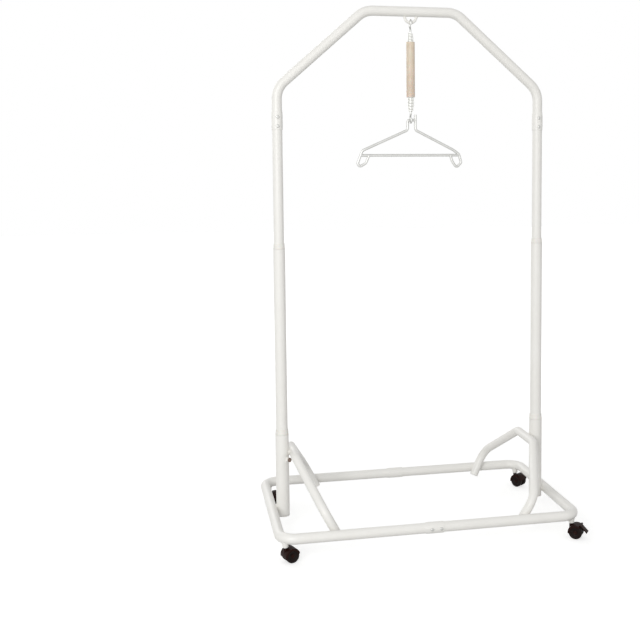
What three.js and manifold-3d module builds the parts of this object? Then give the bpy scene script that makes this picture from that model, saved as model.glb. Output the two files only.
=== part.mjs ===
// A free-standing spring cradle: a tubular steel stand on four twin-wheel casters, with an extension
// spring and a wire hanger under its arch. Millimetres, +Z up, the front towards -Y, and the origin
// on the floor under the middle of the stand.

import * as THREE from "three";
import { mergeVertices } from "three/addons/utils/BufferGeometryUtils.js";
import Module from "manifold-3d";

const wasm = await Module();
wasm.setup();

// Stand: the centre lines of its tubes
const railHalfLength = 420;
const railHalfDepth = 254.3;
const railCornerBend = 45;
const socketCope = 0.6;
const archTopHeight = 1497.6;
const archTopHalfLength = 134.3;
const archShoulderHeight = 1275.7;
const archBend = 65;

// Tubes: outer diameters, the wall that all share, and the gap between pieces that touch
const railTube = 28.6;
const archTube = 28.6;
const braceTube = 25.4;
const tubeWall = 1.2;
const bushWall = 0.6;
const seatGap = 0.3;

// Swaged sleeves, where a tube's end is opened to take the next tube
const railSwageLength = 44;
const railSwageOffset = 4;
const archSwageLength = 45;
const archLegLength = 115.7;
const swageTaper = 12;
const insertGap = 2;

// Telescopic posts
const socketLength = 237;
const socketDrop = 19;
const lowerPostLength = 770.4;
const upperPostOverlap = 160;
const plugFlange = 2;
const plugDepth = 4;
const plugWall = 3;
const bushSleeve = 25;
const bushCollar = 15;
const bushCollarRim = 3;
const bushLip = 0.5;

// Joint screws of the rails and the arch
const screwRadius = 2.4;
const screwLength = 9;
const screwHeadRadius = 5;
const screwHeadHeight = 3;
const screwSpacing = 26;
const headCrownShare = 0.78;

// Bolts that lock the lower posts, and the nuts welded to the sockets for them
const boltRadius = 4;
const boltHeadRadius = 6.3;
const boltHeadHeight = 4.5;
const boltStandOff = 1.5;
const boltHeight = 213;
const boltAngle = THREE.MathUtils.degToRad(45);
const boltPoint = 2;
const nutRadius = 7.5;
const nutHeight = 5;

// Screws that clamp the upper posts, in bosses on the back of the lower posts
const clampRadius = 3;
const clampHeadRadius = 6;
const clampHeadHeight = 3;
const clampDrop = 40;
const clampBossRadius = 6.5;
const clampBossHeight = 4;

// Corner braces
const braceBridgeHeight = 232;
const braceBridgeHalfLength = 68;
const braceBridgeBend = 32;
const braceElbowHeight = 122;
const braceElbowBend = 60;
const braceFootHeight = 50;
const braceLean = THREE.MathUtils.degToRad(28);
const braceFootLean = THREE.MathUtils.degToRad(13.3);

// Half ring under the arch, and the hooks on the spring's ends
const ringRod = 8;
const ringRadius = 17;
const hookRod = 6;
const hookBend = 7;
const topHookNeck = 27;
const bottomHookNeck = 23;
const hookTipTaper = 1.5;
const hookTipShare = 0.65;
const neckLegShare = 0.42;
const neckAxisShare = 0.8;
const hookReachShare = 0.26;

// Extension spring and the sleeve over it
const springWire = 3.8;
const springDiameter = 20.2;
const springLength = 228;
const springCoilGap = 0.45;
const springTopCone = 28;
const springBottomCone = 22;
const sleeveLength = 157;
const sleeveWall = 1.5;

// Wire hanger
const hangerRod = 8;
const hangerHalfSpan = 153.5;
const hangerDrop = 132.5;
const hangerLeftRiser = 9.5;
const hangerRightRiser = 13.5;
const hangerArmShift = 4.2;
const hangerRiserDrop = 28.5;
const hangerRiserTop = 16;
const hangerTopBend = 5.5;
const hangerRiserBend = 10;
const hangerShoulderBend = 15;
const hangerEyeBend = 7;
const hangerBarShare = 0.765;
const hangerBarReachShares = { left: 0.945, right: 0.968 };
// The stops of each arm below its riser, across the half span and down the drop
const hangerArmShares = {
  left: [[0.91, 0.661], [1, 0.93], [0.969, 1.02], [0.844, 0.93], [0.781, hangerBarShare]],
  right: [
    [0.855, 0.648], [0.967, 0.739], [1.014, 0.928], [0.918, 1.044], [0.834, 0.893], [0.8, hangerBarShare],
  ],
};
const hangerArmBends = {
  left: [hangerShoulderBend, hangerEyeBend, hangerEyeBend, hangerEyeBend],
  right: [hangerShoulderBend, hangerShoulderBend, hangerEyeBend, hangerEyeBend, hangerEyeBend],
};

// Casters
const wheelRadius = 19;
const wheelWidth = 10.5;
const wheelHubRadius = 6.5;
const wheelRim = 4.5;
const wheelRecess = 2.5;
const treadRound = 1.5;
const casterTrail = 14.5;
const casterWeb = 11.5;
const casterWebRadius = 14;
const coverGap = 0.7;
const coverWall = 1.8;
const lipDepth = 6.5;
const lipWall = 1.5;
const coverFront = THREE.MathUtils.degToRad(190);
const coverBack = THREE.MathUtils.degToRad(15);
const stemRadius = 3.5;
const stemDepth = 18;
const stemFlange = 1.6;
const stemFlangeRadius = 6;
const railStemRadius = 4;
const railStemLength = 17;
const stemBossLength = 10;
const stemBossRadius = 8;
const stemBossFlare = 1.5;
const axleRadius = 2.5;
const axleCapRadius = 4.2;
const axleCap = 0.8;
const casterYaws = {
  front_left: THREE.MathUtils.degToRad(20),
  front_right: THREE.MathUtils.degToRad(-35),
  rear_left: THREE.MathUtils.degToRad(-30),
  rear_right: THREE.MathUtils.degToRad(-55),
};

// Brake pedal of the front right caster
const pedalThickness = 2.4;
const pedalHubRadius = 2.2;
const pedalHalfWidth = 10.7;
const pedalPinRadius = 1.3;
const pedalTipRadius = 31;
const pedalToeRadius = 1.8;
const lugWall = 2;
const lugRadius = 3;
const pedalPivotAngle = THREE.MathUtils.degToRad(55);
const pedalTipAngle = THREE.MathUtils.degToRad(3);
const brakedCoverBack = THREE.MathUtils.degToRad(52);

// Fineness of the facets
const tubeSides = 12;
const braceSides = 10;
const rodSides = 8;
const pinSides = 10;
const hexSides = 6;
const wheelSides = 16;
const coverSteps = 7;
const coilSteps = 8;
const wireSides = 5;
const bendStep = THREE.MathUtils.degToRad(23);
const cutOverrun = 5;
const mergeDistance = 0.01;

// Radii and heights that follow from the sizes above
const railRadius = railTube / 2;
const railBore = railRadius - tubeWall;
const railMouthBore = railRadius + seatGap;
const railMouthRadius = railMouthBore + tubeWall;
const archRadius = archTube / 2;
const archBore = archRadius - tubeWall;
const archMouthBore = archRadius + seatGap;
const archMouthRadius = archMouthBore + tubeWall;
const lowerPostBore = archRadius + bushWall + 2 * seatGap;
const lowerPostRadius = lowerPostBore + tubeWall;
const socketBore = lowerPostRadius + bushWall + 2 * seatGap;
const socketRadius = socketBore + tubeWall;
const postHalfSpacing = railHalfLength - railRadius - socketRadius + socketCope;
const braceRadius = braceTube / 2;

const coverBore = wheelRadius + coverGap;
const coverRadius = coverBore + coverWall;
const housingTop = wheelRadius + coverRadius;
const flangeFoot = housingTop + seatGap;
const bossFoot = flangeFoot + stemFlange + seatGap;
const railHeight = bossFoot + stemBossLength + railRadius;
const cornerInset = railCornerBend * (1 - Math.SQRT1_2);

const socketFoot = railHeight - socketDrop;
const socketTop = socketFoot + socketLength;
const lowerPostFoot = socketFoot + plugDepth + seatGap;
const lowerPostTop = lowerPostFoot + lowerPostLength;
const upperPostFoot = lowerPostTop - upperPostOverlap;
const archMouth = archShoulderHeight - archLegLength;
const upperPostTop = archMouth + archSwageLength - insertGap;

const ringPivot = archTopHeight - archRadius - ringRadius;
const springTop = ringPivot - topHookNeck;
const springBottom = springTop - springLength;
const hangerPivot = springBottom - bottomHookNeck;
const hookRadius = hookRod / 2;
const wireRadius = springWire / 2;
const coilRadius = springDiameter / 2 - wireRadius;
const coilEndRadius = (hookRadius + seatGap) / Math.cos(Math.PI / coilSteps) + wireRadius;
const springPitch = springWire + springCoilGap;

const sides = { left: -1, right: 1 };
const up = new THREE.Vector3(0, 0, 1);
const across = new THREE.Vector3(1, 0, 0);
const rearward = new THREE.Vector3(0, 1, 0);

const whiteCoat = { color: 0xe9e8e4, roughness: 0.38, metalness: 0 };
const whitePlastic = { color: 0xe4e3df, roughness: 0.5, metalness: 0 };
const zincPlate = { color: 0xc4c5c4, roughness: 0.36, metalness: 0.9 };
const darkBolt = { color: 0x4a423c, roughness: 0.45, metalness: 0.8 };
const tanSleeve = { color: 0xd9c4a0, roughness: 0.55, metalness: 0 };
const blackMoulding = { color: 0x241a17, roughness: 0.42, metalness: 0 };
const wheelRubber = { color: 0x171413, roughness: 0.65, metalness: 0 };

const stand = new THREE.Group();

function addPiece(name, geometry, finish, parent = stand) {
  const piece = new THREE.Mesh(geometry, new THREE.MeshStandardMaterial(finish));
  piece.name = name;
  parent.add(piece);
  return piece;
}

// A closed surface has shared vertices and no collapsed triangles.
function closedSurface(geometry) {
  geometry.deleteAttribute("normal");
  geometry.deleteAttribute("uv");
  const merged = mergeVertices(geometry);
  const corners = merged.index.array;
  const kept = [];
  for (let first = 0; first < corners.length; first += 3) {
    const [a, b, c] = corners.slice(first, first + 3);
    if (a !== b && b !== c && c !== a) {
      kept.push(a, b, c);
    }
  }
  merged.setIndex(kept);
  return merged;
}

function solidFrom(geometry) {
  const surface = closedSurface(geometry);
  return new wasm.Manifold(new wasm.Mesh({
    numProp: 3,
    vertProperties: new Float32Array(surface.attributes.position.array),
    triVerts: new Uint32Array(surface.index.array),
  }));
}

function surfaceOf(solid) {
  const mesh = solid.getMesh();
  const surface = new THREE.BufferGeometry();
  surface.setAttribute("position", new THREE.BufferAttribute(mesh.vertProperties, 3));
  surface.setIndex(new THREE.BufferAttribute(mesh.triVerts, 1));
  return surface;
}

// A piece turned about +Z. Its outline of [radius, height] points runs up the outside, and it either
// starts and ends on the axis or goes round a hollow.
function turned(outline, sideCount) {
  const points = outline.map(([radius, height]) => new THREE.Vector2(radius, height));
  if (outline[0][0] > 0) {
    points.push(points[0].clone());
  }
  const geometry = new THREE.LatheGeometry(points, sideCount);
  geometry.rotateX(Math.PI / 2);
  return closedSurface(geometry);
}

function upright(bore, radius, foot, top, x = 0) {
  const outline = [[bore, foot], [radius, foot], [radius, top], [bore, top]];
  return turned(outline, tubeSides).translate(x, 0, 0);
}

// A round or hexagonal bar between two points
function bar(from, to, radius, sideCount, endRadius = radius) {
  const along = to.clone().sub(from);
  const geometry = new THREE.CylinderGeometry(endRadius, radius, along.length(), sideCount);
  const turn = new THREE.Quaternion().setFromUnitVectors(rearward, along.clone().normalize());
  geometry.applyQuaternion(turn);
  const middle = from.clone().addScaledVector(along, 1 / 2);
  geometry.translate(middle.x, middle.y, middle.z);
  return solidFrom(geometry);
}

// The stations of a tube or rod that runs through its stops. A stop has its place, the outer radius
// and, on a tube, the bore radius there, and the bend radius where the run turns.
function stationsThrough(stops) {
  const stations = [];
  stops.forEach((stop, index) => {
    const before = stops[index - 1];
    const after = stops[index + 1];
    const into = before && stop.at.clone().sub(before.at).normalize();
    const outOf = after && after.at.clone().sub(stop.at).normalize();
    if (!stop.bend) {
      stations.push({ ...stop, along: into ?? outOf });
      return;
    }
    const turn = into.angleTo(outOf);
    const start = stop.at.clone().addScaledVector(into, -stop.bend * Math.tan(turn / 2));
    const inward = outOf.clone().addScaledVector(into, -Math.cos(turn)).normalize();
    const steps = Math.ceil(turn / bendStep);
    for (let step = 0; step <= steps; step += 1) {
      const angle = turn * step / steps;
      const at = start.clone()
        .addScaledVector(into, stop.bend * Math.sin(angle))
        .addScaledVector(inward, stop.bend * (1 - Math.cos(angle)));
      const along = into.clone().multiplyScalar(Math.cos(angle))
        .addScaledVector(inward, Math.sin(angle));
      const last = stations[stations.length - 1];
      if (last.at.distanceTo(at) > mergeDistance) {
        stations.push({ ...stop, at, along });
      }
    }
  });
  return stations;
}

// A tube, or a rod where the stops have no bore, along a run that lies in one plane
function sweep(stops, planeNormal, sideCount) {
  const stations = stationsThrough(stops);
  const hollow = stops[0].bore !== undefined;
  const positions = [];
  const triangles = [];
  const addRing = (station, radius) => {
    const side = station.along.clone().cross(planeNormal);
    const first = positions.length / 3;
    for (let corner = 0; corner < sideCount; corner += 1) {
      const angle = 2 * Math.PI * corner / sideCount;
      const point = station.at.clone()
        .addScaledVector(planeNormal, radius * Math.cos(angle))
        .addScaledVector(side, radius * Math.sin(angle));
      positions.push(point.x, point.y, point.z);
    }
    return first;
  };
  const joinRings = (from, to) => {
    for (let corner = 0; corner < sideCount; corner += 1) {
      const next = (corner + 1) % sideCount;
      triangles.push(from + corner, from + next, to + next);
      triangles.push(from + corner, to + next, to + corner);
    }
  };
  const closeEnd = (ring, station, facesForward) => {
    const centre = positions.length / 3;
    positions.push(station.at.x, station.at.y, station.at.z);
    for (let corner = 0; corner < sideCount; corner += 1) {
      const next = (corner + 1) % sideCount;
      const pair = facesForward ? [ring + corner, ring + next] : [ring + next, ring + corner];
      triangles.push(...pair, centre);
    }
  };
  const outer = stations.map((station) => addRing(station, station.radius));
  outer.slice(1).forEach((ring, index) => joinRings(outer[index], ring));
  if (hollow) {
    const inner = stations.map((station) => addRing(station, station.bore));
    inner.slice(1).forEach((ring, index) => joinRings(ring, inner[index]));
    joinRings(inner[0], outer[0]);
    joinRings(outer[outer.length - 1], inner[inner.length - 1]);
  } else {
    closeEnd(outer[0], stations[0], false);
    closeEnd(outer[outer.length - 1], stations[stations.length - 1], true);
  }
  const geometry = new THREE.BufferGeometry();
  geometry.setAttribute("position", new THREE.Float32BufferAttribute(positions, 3));
  geometry.setIndex(triangles);
  return geometry;
}

// A plate in the plane of a wheel, with equal halves on both sides of that plane
function plate(shape, thickness, steps = coverSteps) {
  const geometry = new THREE.ExtrudeGeometry(shape, {
    depth: thickness,
    bevelEnabled: false,
    curveSegments: steps,
  });
  geometry.rotateX(Math.PI / 2);
  geometry.translate(0, thickness / 2, 0);
  return geometry;
}

function ringSector(inner, outer, start, end) {
  const shape = new THREE.Shape();
  shape.absarc(0, 0, outer, start, end, false);
  if (inner > 0) {
    shape.absarc(0, 0, inner, end, start, true);
  } else {
    shape.lineTo(0, 0);
  }
  shape.closePath();
  return shape;
}

// A pan-head screw that is driven along -Z, with its head seated at height zero
function panScrew(shank, length, headRadius, headHeight) {
  return turned([
    [0, -length],
    [shank, -length],
    [shank, 0],
    [headRadius, 0],
    [headRadius * headCrownShare, headHeight],
    [0, headHeight],
  ], pinSides);
}

function placeScrew(name, geometry, finish, seat, outward) {
  const screw = addPiece(name, geometry, finish);
  screw.position.copy(seat);
  screw.quaternion.setFromUnitVectors(up, outward);
}

function plainStop(x, y, z, bend) {
  return { at: new THREE.Vector3(x, y, z), radius: railRadius, bore: railBore, bend };
}

function mouthStop(x, y, z) {
  return { at: new THREE.Vector3(x, y, z), radius: railMouthRadius, bore: railMouthBore };
}

// Base: two U-shaped halves. The left half's ends are swaged open and take the right half's ends.
const railMouth = railSwageOffset + railSwageLength / 2;
const railSwageEnd = railMouth - railSwageLength;
const railInsertEnd = railSwageEnd + insertGap;
const railScrewPlaces = {
  left: railSwageOffset - screwSpacing / 2,
  right: railSwageOffset + screwSpacing / 2,
};

function railEnd(side, y) {
  if (side > 0) {
    return [plainStop(railInsertEnd, y, railHeight)];
  }
  return [
    mouthStop(railMouth, y, railHeight),
    mouthStop(railSwageEnd, y, railHeight),
    plainStop(railSwageEnd - swageTaper, y, railHeight),
  ];
}

function baseHalfStops(side) {
  return [
    ...railEnd(side, -railHalfDepth),
    plainStop(side * railHalfLength, -railHalfDepth, railHeight, railCornerBend),
    plainStop(side * railHalfLength, railHalfDepth, railHeight, railCornerBend),
    ...railEnd(side, railHalfDepth).reverse(),
  ];
}

for (const [sideName, side] of Object.entries(sides)) {
  const stops = baseHalfStops(side);
  const coreStops = stops.map(({ at, bore, bend }) => ({ at, radius: bore, bend }));
  const core = solidFrom(sweep(coreStops, up, tubeSides));
  let half = solidFrom(sweep(stops, up, tubeSides));
  for (const depthSide of [-1, 1]) {
    const x = side * (railHalfLength - cornerInset);
    const y = depthSide * (railHalfDepth - cornerInset);
    const foot = new THREE.Vector3(x, y, bossFoot);
    const head = new THREE.Vector3(x, y, railHeight);
    const boss = bar(foot, head, stemBossRadius, tubeSides, stemBossRadius + stemBossFlare);
    const below = new THREE.Vector3(x, y, bossFoot - cutOverrun);
    const stemHole = bar(below, head, railStemRadius + seatGap, pinSides);
    half = half.add(boss.subtract(core)).subtract(stemHole);
    for (const place of Object.values(railScrewPlaces)) {
      const middle = new THREE.Vector3(place, depthSide * railHalfDepth, railHeight);
      const outside = middle.clone();
      outside.y += depthSide * (railMouthRadius + cutOverrun);
      half = half.subtract(bar(middle, outside, screwRadius + seatGap, pinSides));
    }
  }
  addPiece(`base_${sideName}`, surfaceOf(half), whiteCoat);
}

const jointScrew = panScrew(screwRadius, screwLength, screwHeadRadius, screwHeadHeight);
for (const [depthName, depthSide] of [["front", -1], ["rear", 1]]) {
  for (const [placeName, place] of Object.entries(railScrewPlaces)) {
    const y = depthSide * (railHalfDepth + railMouthRadius + seatGap);
    const seat = new THREE.Vector3(place, y, railHeight);
    const outward = rearward.clone().multiplyScalar(depthSide);
    placeScrew(`rail_screw_${depthName}_${placeName}`, jointScrew, zincPlate, seat, outward);
  }
}

// Sockets on the end rails, their plugs and bushes, and the bolts that lock the lower posts
function collarBush(bore, holderRadius, top) {
  const sleeveRadius = bore + bushWall;
  const rim = top + seatGap;
  return turned([
    [bore, top - bushSleeve],
    [sleeveRadius, top - bushSleeve],
    [sleeveRadius, rim],
    [holderRadius, rim],
    [holderRadius, rim + bushCollarRim],
    [sleeveRadius + bushLip, rim + bushCollar],
    [bore, rim + bushCollar],
  ], tubeSides);
}

function plugGeometry() {
  const flangeTop = socketFoot - seatGap;
  const flangeFoot = flangeTop - plugFlange;
  const bodyRadius = socketBore - seatGap;
  const hollowRadius = bodyRadius - plugWall;
  return turned([
    [0, flangeTop],
    [hollowRadius, flangeTop],
    [hollowRadius, flangeFoot],
    [socketRadius, flangeFoot],
    [socketRadius, flangeTop],
    [bodyRadius, flangeTop],
    [bodyRadius, socketFoot + plugDepth],
    [0, socketFoot + plugDepth],
  ], tubeSides);
}

for (const [sideName, side] of Object.entries(sides)) {
  const x = side * postHalfSpacing;
  const outOfSocket = new THREE.Vector3(Math.cos(boltAngle), -Math.sin(boltAngle), 0);
  outOfSocket.multiplyScalar(-side);
  const axisPoint = new THREE.Vector3(x, 0, boltHeight);
  const atRadius = (radius) => axisPoint.clone().addScaledVector(outOfSocket, radius);
  const nutFace = socketRadius + nutHeight;
  const bolt = { tip: lowerPostRadius + seatGap, seat: nutFace + boltStandOff };

  const bore = solidFrom(upright(0, socketBore, socketFoot, socketTop, x));
  const nut = bar(atRadius(lowerPostRadius), atRadius(nutFace), nutRadius, hexSides).subtract(bore);
  const boltHole = bar(axisPoint, atRadius(nutFace + cutOverrun), boltRadius + seatGap, pinSides);
  const railStart = new THREE.Vector3(side * railHalfLength, -socketLength, railHeight);
  const railStop = new THREE.Vector3(side * railHalfLength, socketLength, railHeight);
  const railSeat = bar(railStart, railStop, railRadius + seatGap, tubeSides);
  const socket = solidFrom(upright(socketBore, socketRadius, socketFoot, socketTop, x))
    .add(nut).subtract(boltHole).subtract(railSeat);
  addPiece(`socket_${sideName}`, surfaceOf(socket), whiteCoat);
  addPiece(`socket_plug_${sideName}`, plugGeometry(), whitePlastic).position.x = x;
  addPiece(`socket_bush_${sideName}`, collarBush(lowerPostRadius + seatGap, socketRadius, socketTop),
    whitePlastic).position.x = x;

  const point = bar(atRadius(bolt.tip + boltPoint), atRadius(bolt.tip), boltRadius, pinSides,
    boltRadius / 2);
  const shank = bar(atRadius(bolt.tip + boltPoint), atRadius(bolt.seat), boltRadius, pinSides);
  const head = bar(atRadius(bolt.seat), atRadius(bolt.seat + boltHeadHeight), boltHeadRadius, hexSides);
  addPiece(`post_bolt_${sideName}`, surfaceOf(shank.add(point).add(head)), darkBolt);
}

// Lower and upper posts, the bushes between them, and the screws that clamp the upper posts
const clampHeight = lowerPostTop - clampDrop;
const archScrewMiddle = archMouth + archSwageLength / 2;
const archScrewHeights = {
  low: archScrewMiddle - screwSpacing / 2,
  high: archScrewMiddle + screwSpacing / 2,
};

function archScrewSeat(side, height) {
  return new THREE.Vector3(side * postHalfSpacing, -archMouthRadius - seatGap, height);
}

// Holes in the front of one arch leg, or of the post in it
function drilledForArchScrews(solid, side) {
  let drilled = solid;
  for (const height of Object.values(archScrewHeights)) {
    const axisPoint = new THREE.Vector3(side * postHalfSpacing, 0, height);
    const seat = archScrewSeat(side, height);
    drilled = drilled.subtract(bar(axisPoint, seat, screwRadius + seatGap, pinSides));
  }
  return drilled;
}

for (const [sideName, side] of Object.entries(sides)) {
  const x = side * postHalfSpacing;
  const axisPoint = new THREE.Vector3(x, 0, clampHeight);
  const behind = (radius) => axisPoint.clone().addScaledVector(rearward, radius);
  const bossFace = lowerPostRadius + clampBossHeight;
  const bore = solidFrom(upright(0, lowerPostBore, lowerPostFoot, lowerPostTop, x));
  const boss = bar(axisPoint, behind(bossFace), clampBossRadius, pinSides).subtract(bore);
  const hole = bar(axisPoint, behind(bossFace + cutOverrun), clampRadius + seatGap, pinSides);
  const lowerPost = solidFrom(upright(lowerPostBore, lowerPostRadius, lowerPostFoot, lowerPostTop, x))
    .add(boss).subtract(hole);
  addPiece(`lower_post_${sideName}`, surfaceOf(lowerPost), whiteCoat);
  const upperPost = solidFrom(upright(archBore, archRadius, upperPostFoot, upperPostTop, x));
  addPiece(`upper_post_${sideName}`, surfaceOf(drilledForArchScrews(upperPost, side)), whiteCoat);
  addPiece(`post_bush_${sideName}`, collarBush(archRadius + seatGap, lowerPostRadius, lowerPostTop),
    whitePlastic).position.x = x;
  const shankLength = bossFace - archRadius;
  const screw = panScrew(clampRadius, shankLength, clampHeadRadius, clampHeadHeight);
  placeScrew(`clamp_screw_${sideName}`, screw, zincPlate, behind(bossFace + seatGap), rearward);
}

// Arch: one tube with two shoulders and a level top, its legs swaged open over the upper posts
function archLegStops(side) {
  const x = side * postHalfSpacing;
  const swageTop = archMouth + archSwageLength;
  const plain = { radius: archRadius, bore: archBore };
  const mouth = { radius: archMouthRadius, bore: archMouthBore };
  const topX = side * archTopHalfLength;
  return [
    { at: new THREE.Vector3(x, 0, archMouth), ...mouth },
    { at: new THREE.Vector3(x, 0, swageTop), ...mouth },
    { at: new THREE.Vector3(x, 0, swageTop + swageTaper), ...plain },
    { at: new THREE.Vector3(x, 0, archShoulderHeight), ...plain, bend: archBend },
    { at: new THREE.Vector3(topX, 0, archTopHeight), ...plain, bend: archBend },
  ];
}

const archStops = [...archLegStops(-1), ...archLegStops(1).reverse()];
let arch = solidFrom(sweep(archStops, rearward, tubeSides));
const frontward = rearward.clone().negate();
for (const [sideName, side] of Object.entries(sides)) {
  arch = drilledForArchScrews(arch, side);
  for (const [heightName, height] of Object.entries(archScrewHeights)) {
    const name = `arch_screw_${sideName}_${heightName}`;
    placeScrew(name, jointScrew, zincPlate, archScrewSeat(side, height), frontward);
  }
}
addPiece("arch", surfaceOf(arch), whiteCoat);

// Half ring welded under the arch's top
const ringStops = [
  { at: new THREE.Vector3(-ringRadius, 0, archTopHeight) },
  { at: new THREE.Vector3(-ringRadius, 0, ringPivot), bend: ringRadius },
  { at: new THREE.Vector3(ringRadius, 0, ringPivot), bend: ringRadius },
  { at: new THREE.Vector3(ringRadius, 0, archTopHeight) },
].map((stop) => ({ ...stop, radius: ringRod / 2 }));
const archTopLeft = new THREE.Vector3(-archTopHalfLength, 0, archTopHeight);
const archTopRight = new THREE.Vector3(archTopHalfLength, 0, archTopHeight);
const ringSeat = bar(archTopLeft, archTopRight, archRadius + seatGap, tubeSides);
const ring = solidFrom(sweep(ringStops, rearward, rodSides)).subtract(ringSeat);
addPiece("hook_ring", surfaceOf(ring), whiteCoat);

// Hooks: each bends round the rod that carries it and ends in a tapered plug, which the coned end of
// the spring holds. The spring lies on the side of the pivot that towardSpring points to.
function coilRadiusAt(height) {
  const fromTop = (springTop - height) / springTopCone;
  const fromBottom = (height - springBottom) / springBottomCone;
  const coneShare = Math.min(1, fromTop, fromBottom);
  return coilEndRadius + (coilRadius - coilEndRadius) * coneShare;
}

function hook(pivot, towardSpring, neck, cone, rodThere) {
  const arc = rodThere / 2 + seatGap + hookRadius;
  const at = (y, reach) => new THREE.Vector3(0, y, pivot + towardSpring * reach);
  const plugEnd = pivot + towardSpring * (neck + cone);
  const plugBore = coilRadiusAt(plugEnd) - wireRadius;
  const plugRadius = plugBore * Math.cos(Math.PI / coilSteps) - seatGap;
  const reach = neck * hookReachShare;
  const stops = [
    { at: at(-arc, reach), radius: hookRadius * hookTipShare },
    { at: at(-arc, reach - hookTipTaper) },
    { at: at(-arc, -arc), bend: arc },
    { at: at(arc, -arc), bend: arc },
    { at: at(arc, neck * neckLegShare), bend: hookBend },
    { at: at(0, neck * neckAxisShare), bend: hookBend },
    { at: at(0, neck) },
    { at: at(0, neck + cone), radius: plugRadius },
  ].map((stop) => ({ radius: hookRadius, ...stop }));
  return sweep(stops, across, rodSides);
}

addPiece("top_hook", hook(ringPivot, -1, topHookNeck, springTopCone, ringRod), zincPlate);
addPiece("bottom_hook", hook(hangerPivot, 1, bottomHookNeck, springBottomCone, hangerRod), zincPlate);

// Extension spring: one unbroken wire with coned ends, which runs straight at both ends
function springStations() {
  const foot = springBottom + wireRadius;
  const turns = (springLength - springWire) / springPitch;
  const steps = Math.round(turns * coilSteps);
  const stations = [];
  for (let step = 0; step <= steps; step += 1) {
    const angle = 2 * Math.PI * step / coilSteps;
    const height = foot + (springLength - springWire) * step / steps;
    const radius = coilRadiusAt(height);
    const outward = new THREE.Vector3(Math.cos(angle), Math.sin(angle), 0);
    const at = outward.clone().multiplyScalar(radius).setZ(height);
    const round = new THREE.Vector3(-Math.sin(angle), Math.cos(angle), 0);
    const rise = new THREE.Vector3(0, 0, springPitch / (2 * Math.PI * radius));
    stations.push({ at, outward, along: round.add(rise).normalize() });
  }
  const first = stations[0];
  const last = stations[stations.length - 1];
  const lead = { ...first, at: first.at.clone().addScaledVector(first.along, -springWire) };
  const tail = { ...last, at: last.at.clone().addScaledVector(last.along, springWire) };
  return [lead, ...stations, tail];
}

function leastSelfGap(stations) {
  let least = Infinity;
  stations.forEach((station, index) => {
    for (const other of stations.slice(index + coilSteps / 2)) {
      least = Math.min(least, station.at.distanceTo(other.at) - springWire);
    }
  });
  return least;
}

function wireAlong(stations) {
  const positions = [];
  const triangles = [];
  for (const { at, outward, along } of stations) {
    const side = along.clone().cross(outward);
    for (let corner = 0; corner < wireSides; corner += 1) {
      const angle = 2 * Math.PI * corner / wireSides;
      const point = at.clone()
        .addScaledVector(outward, wireRadius * Math.cos(angle))
        .addScaledVector(side, wireRadius * Math.sin(angle));
      positions.push(point.x, point.y, point.z);
    }
  }
  for (let station = 0; station < stations.length - 1; station += 1) {
    for (let corner = 0; corner < wireSides; corner += 1) {
      const here = station * wireSides + corner;
      const beside = station * wireSides + (corner + 1) % wireSides;
      triangles.push(here, beside, beside + wireSides);
      triangles.push(here, beside + wireSides, here + wireSides);
    }
  }
  const last = (stations.length - 1) * wireSides;
  for (let corner = 1; corner < wireSides - 1; corner += 1) {
    triangles.push(0, corner + 1, corner);
    triangles.push(last, last + corner, last + corner + 1);
  }
  const geometry = new THREE.BufferGeometry();
  geometry.setAttribute("position", new THREE.Float32BufferAttribute(positions, 3));
  geometry.setIndex(triangles);
  return geometry;
}

const springRun = springStations();
console.log(`spring: least gap to itself ${leastSelfGap(springRun).toFixed(3)} mm`);
addPiece("spring", wireAlong(springRun), zincPlate);

const sleeveTop = springTop - springTopCone;
const sleeveBore = (springDiameter / 2 + seatGap) / Math.cos(Math.PI / tubeSides);
addPiece("spring_sleeve",
  upright(sleeveBore, sleeveBore + sleeveWall, sleeveTop - sleeveLength, sleeveTop), tanSleeve);

// Hanger: two bent wires and a straight one, welded together
function hangerPoint(side, [acrossShare, downShare]) {
  const x = side * hangerHalfSpan * acrossShare - hangerArmShift;
  return new THREE.Vector3(x, 0, hangerPivot - hangerDrop * downShare);
}

function hangerArm(sideName, riser) {
  const side = sides[sideName];
  const riserFoot = new THREE.Vector3(side * riser, 0, hangerPivot - hangerRiserDrop);
  const bends = hangerArmBends[sideName];
  const stops = hangerArmShares[sideName].map((shares, stop) => {
    return { at: hangerPoint(side, shares), bend: bends[stop] };
  });
  return [{ at: riserFoot, bend: hangerRiserBend }, ...stops];
}

function hangerWire(stops) {
  const rod = stops.map((stop) => ({ ...stop, radius: hangerRod / 2 }));
  return solidFrom(sweep(rod, rearward, rodSides));
}

const hangerLeftWire = hangerWire([
  { at: new THREE.Vector3(hangerRightRiser, 0, hangerPivot) },
  { at: new THREE.Vector3(-hangerLeftRiser, 0, hangerPivot), bend: hangerTopBend },
  ...hangerArm("left", hangerLeftRiser),
]);
const hangerRightWire = hangerWire([
  { at: new THREE.Vector3(hangerRightRiser, 0, hangerPivot + hangerRiserTop) },
  ...hangerArm("right", hangerRightRiser),
]);
const hangerBar = hangerWire([
  { at: hangerPoint(sides.left, [hangerBarReachShares.left, hangerBarShare]) },
  { at: hangerPoint(sides.right, [hangerBarReachShares.right, hangerBarShare]) },
]);
addPiece("hanger", surfaceOf(hangerLeftWire.add(hangerRightWire).add(hangerBar)), zincPlate);

// Corner braces: each lies in one plane that leans inward as it goes down, and it runs from the front
// rail over the inner side of the socket to the rear rail
const braceX = postHalfSpacing - socketRadius - seatGap - braceRadius;
const braceRailGap = (railRadius + seatGap + braceRadius) / Math.cos(braceFootLean);

function braceStop(side, y, z, bend) {
  const x = side * (braceX - (braceBridgeHeight - z) * Math.tan(braceLean));
  return { at: new THREE.Vector3(x, y, z), radius: braceRadius, bore: braceRadius - tubeWall, bend };
}

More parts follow.
